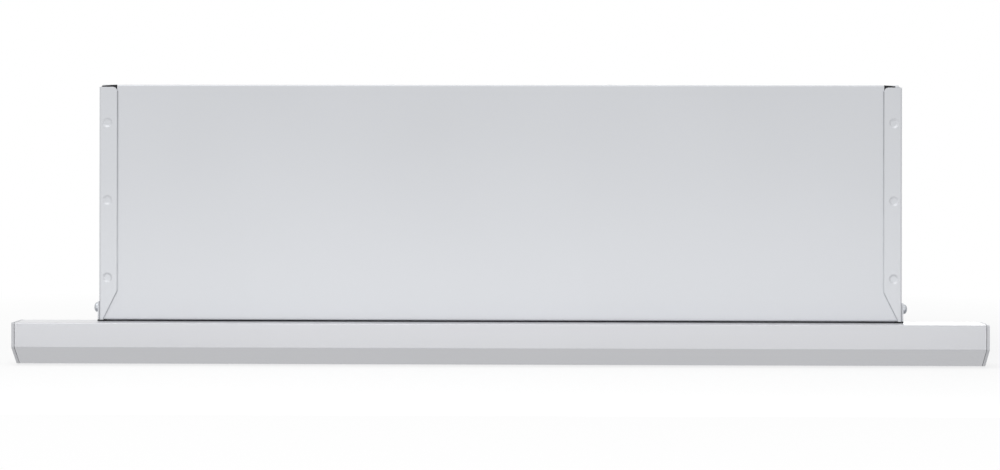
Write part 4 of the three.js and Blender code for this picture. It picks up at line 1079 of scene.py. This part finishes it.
def shade_seams():
    """A line of painted shade where each flange lies on the body's front and back."""
    low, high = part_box("body_shell")
    for side, way in SIDES.items():
        outline = seam_outline(side, way)
        front = low.y - SEAM_THICK
        upright_plate("front_seam_shadow_" + side, outline, front, low.y, "body_paint", SEAM)
        rear = high.y + SEAM_THICK
        upright_plate("back_seam_shadow_" + side, outline, high.y, rear, "body_paint", SEAM)


shade_flange_corners()
shade_slit_ends()
shade_seams()


# ---------------------------------------------------------------- studio

FLOOR_SIZE = 9.0
FLOOR_GAP = 0.3 * MM
FLOOR_WHITE = 0.97

# Share of plain white in the floor: FLOOR_PLAIN inside FLOOR_KEEP, all of it beyond FLOOR_FADE
FLOOR_KEEP = 0.38
FLOOR_FADE = 0.75
FLOOR_PLAIN = 0.68

# Strength of the world, and of the floor's plain white, for rays that only light the hood
WORLD_LEVEL = 0.55

# Name, place, target, width, height and watts of each lamp
HOOD_MIDDLE = (0.0, 0.0, 0.09)
SOFTBOXES = [
    ("top_softbox", (0.0, 0.2, 1.9), HOOD_MIDDLE, 2.4, 1.8, 6.0),
    ("key_softbox", (-0.35, -0.9, 1.55), HOOD_MIDDLE, 1.8, 1.2, 12.0),
    ("low_softbox", (-0.05, -0.42, 0.012), (-0.05, -0.12, 0.05), 0.9, 0.08, 0.39),
    ("back_softbox", (0.4, 2.3, 0.6), HOOD_MIDDLE, 1.6, 1.0, 6.0),
]


def mirrored_ray(tree):
    """1 for rays that come off a gloss or through glass."""
    path = tree.nodes.new("ShaderNodeLightPath").outputs
    return math_step(tree, "MAXIMUM", path["Is Glossy Ray"], path["Is Transmission Ray"])


def seen_ray(tree):
    """1 for rays that show the background: from the camera, off a gloss, or through glass."""
    path = tree.nodes.new("ShaderNodeLightPath").outputs
    return math_step(tree, "MAXIMUM", path["Is Camera Ray"], mirrored_ray(tree))


def white_world():
    """An even pale sky that lights plainly and shows as white."""
    world = bpy.data.worlds.new("studio")
    bpy.context.scene.world = world
    world.use_nodes = True
    tree = world.node_tree
    level = remap(tree, seen_ray(tree), 0.0, 1.0, WORLD_LEVEL, 1.0)
    tree.links.new(level, tree.nodes["Background"].inputs["Strength"])
    tree.nodes["Background"].inputs["Color"].default_value = (1.0, 1.0, 1.0, 1.0)


def floor_finish():
    """White floor that keeps the soft shadow near the hood and fades to plain white further out."""
    made = bpy.data.materials.new("studio_floor")
    made.use_nodes = True
    tree = made.node_tree
    tree.nodes.clear()
    place = add_node(tree, "ShaderNodeTexCoord").outputs["Object"]
    far = add_node(tree, "ShaderNodeVectorMath", {0: place}, operation="LENGTH").outputs["Value"]
    fading = remap(tree, far, FLOOR_KEEP, FLOOR_FADE, FLOOR_PLAIN, 1.0)
    plain = math_step(tree, "MAXIMUM", fading, mirrored_ray(tree))
    lit = add_node(tree, "ShaderNodeBsdfDiffuse", {"Color": (FLOOR_WHITE,) * 3 + (1.0,)})
    level = remap(tree, seen_ray(tree), 0.0, 1.0, WORLD_LEVEL, 1.0)
    white = add_node(tree, "ShaderNodeEmission", {"Strength": level})
    above = add_node(tree, "ShaderNodeMixShader", {0: plain, 1: lit.outputs[0], 2: white.outputs[0]})
    below = add_node(tree, "ShaderNodeBsdfTransparent")
    backface = tree.nodes.new("ShaderNodeNewGeometry").outputs["Backfacing"]
    both = add_node(tree, "ShaderNodeMixShader", {0: backface, 1: above.outputs[0], 2: below.outputs[0]})
    out = tree.nodes.new("ShaderNodeOutputMaterial")
    tree.links.new(both.outputs[0], out.inputs["Surface"])
    return made


def lay_floor():
    """A floor just under the hood. It takes the shadow and lets light reach the underside."""
    mesh = bpy.data.meshes.new("studio_floor")
    half = FLOOR_SIZE / 2
    corners = [(-half, -half, 0), (half, -half, 0), (half, half, 0), (-half, half, 0)]
    mesh.from_pydata(corners, [], [(0, 1, 2, 3)])
    floor = bpy.data.objects.new("studio_floor", mesh)
    bpy.context.scene.collection.objects.link(floor)
    floor.location.z = -FLOOR_GAP
    mesh.materials.append(floor_finish())
    floor.visible_shadow = False
    floor.visible_diffuse = False


def soft_lamp(name, place, target, width, height, watts):
    """A softbox that points at a target."""
    lamp = bpy.data.lights.new(name, "AREA")
    lamp.shape = "RECTANGLE"
    lamp.size = width
    lamp.size_y = height
    lamp.energy = watts
    lit = bpy.data.objects.new(name, lamp)
    bpy.context.scene.collection.objects.link(lit)
    lit.location = place
    lit.rotation_euler = (Vector(target) - Vector(place)).to_track_quat("-Z", "Y").to_euler()
    lit.visible_camera = False


def light_studio():
    """Soft lamps above, high and low in front, and behind."""
    for softbox in SOFTBOXES:
        soft_lamp(*softbox)


# Camera: lens and distance come from how the bar's rear edge narrows in the photograph
LENS = 88.39
SENSOR = 36.0
CAMERA_DISTANCE = 1.645
CAMERA_HEIGHT = 0.131
CAMERA_SIDE = math.radians(1.0)
CAMERA_ROLL = math.radians(0.085)
CAMERA_TURN = math.radians(0.073)
CAMERA_SHIFT = -0.0824


def place_camera():
    """The camera at the photograph's viewing angle."""
    data = bpy.data.cameras.new("camera")
    data.lens = LENS
    data.sensor_width = SENSOR
    data.shift_y = CAMERA_SHIFT
    camera = bpy.data.objects.new("camera", data)
    bpy.context.scene.collection.objects.link(camera)
    around = Matrix.Rotation(CAMERA_SIDE, 4, "Z")
    back = Matrix.Translation((0, -CAMERA_DISTANCE, CAMERA_HEIGHT))
    turn = Matrix.Rotation(CAMERA_TURN, 4, "Z")
    look = turn @ Matrix.Rotation(math.radians(90), 4, "X")
    camera.matrix_world = around @ back @ look @ Matrix.Rotation(CAMERA_ROLL, 4, "Z")
    bpy.context.scene.camera = camera


white_world()
lay_floor()
light_studio()
place_camera()
bpy.context.scene.view_settings.view_transform = "Standard"
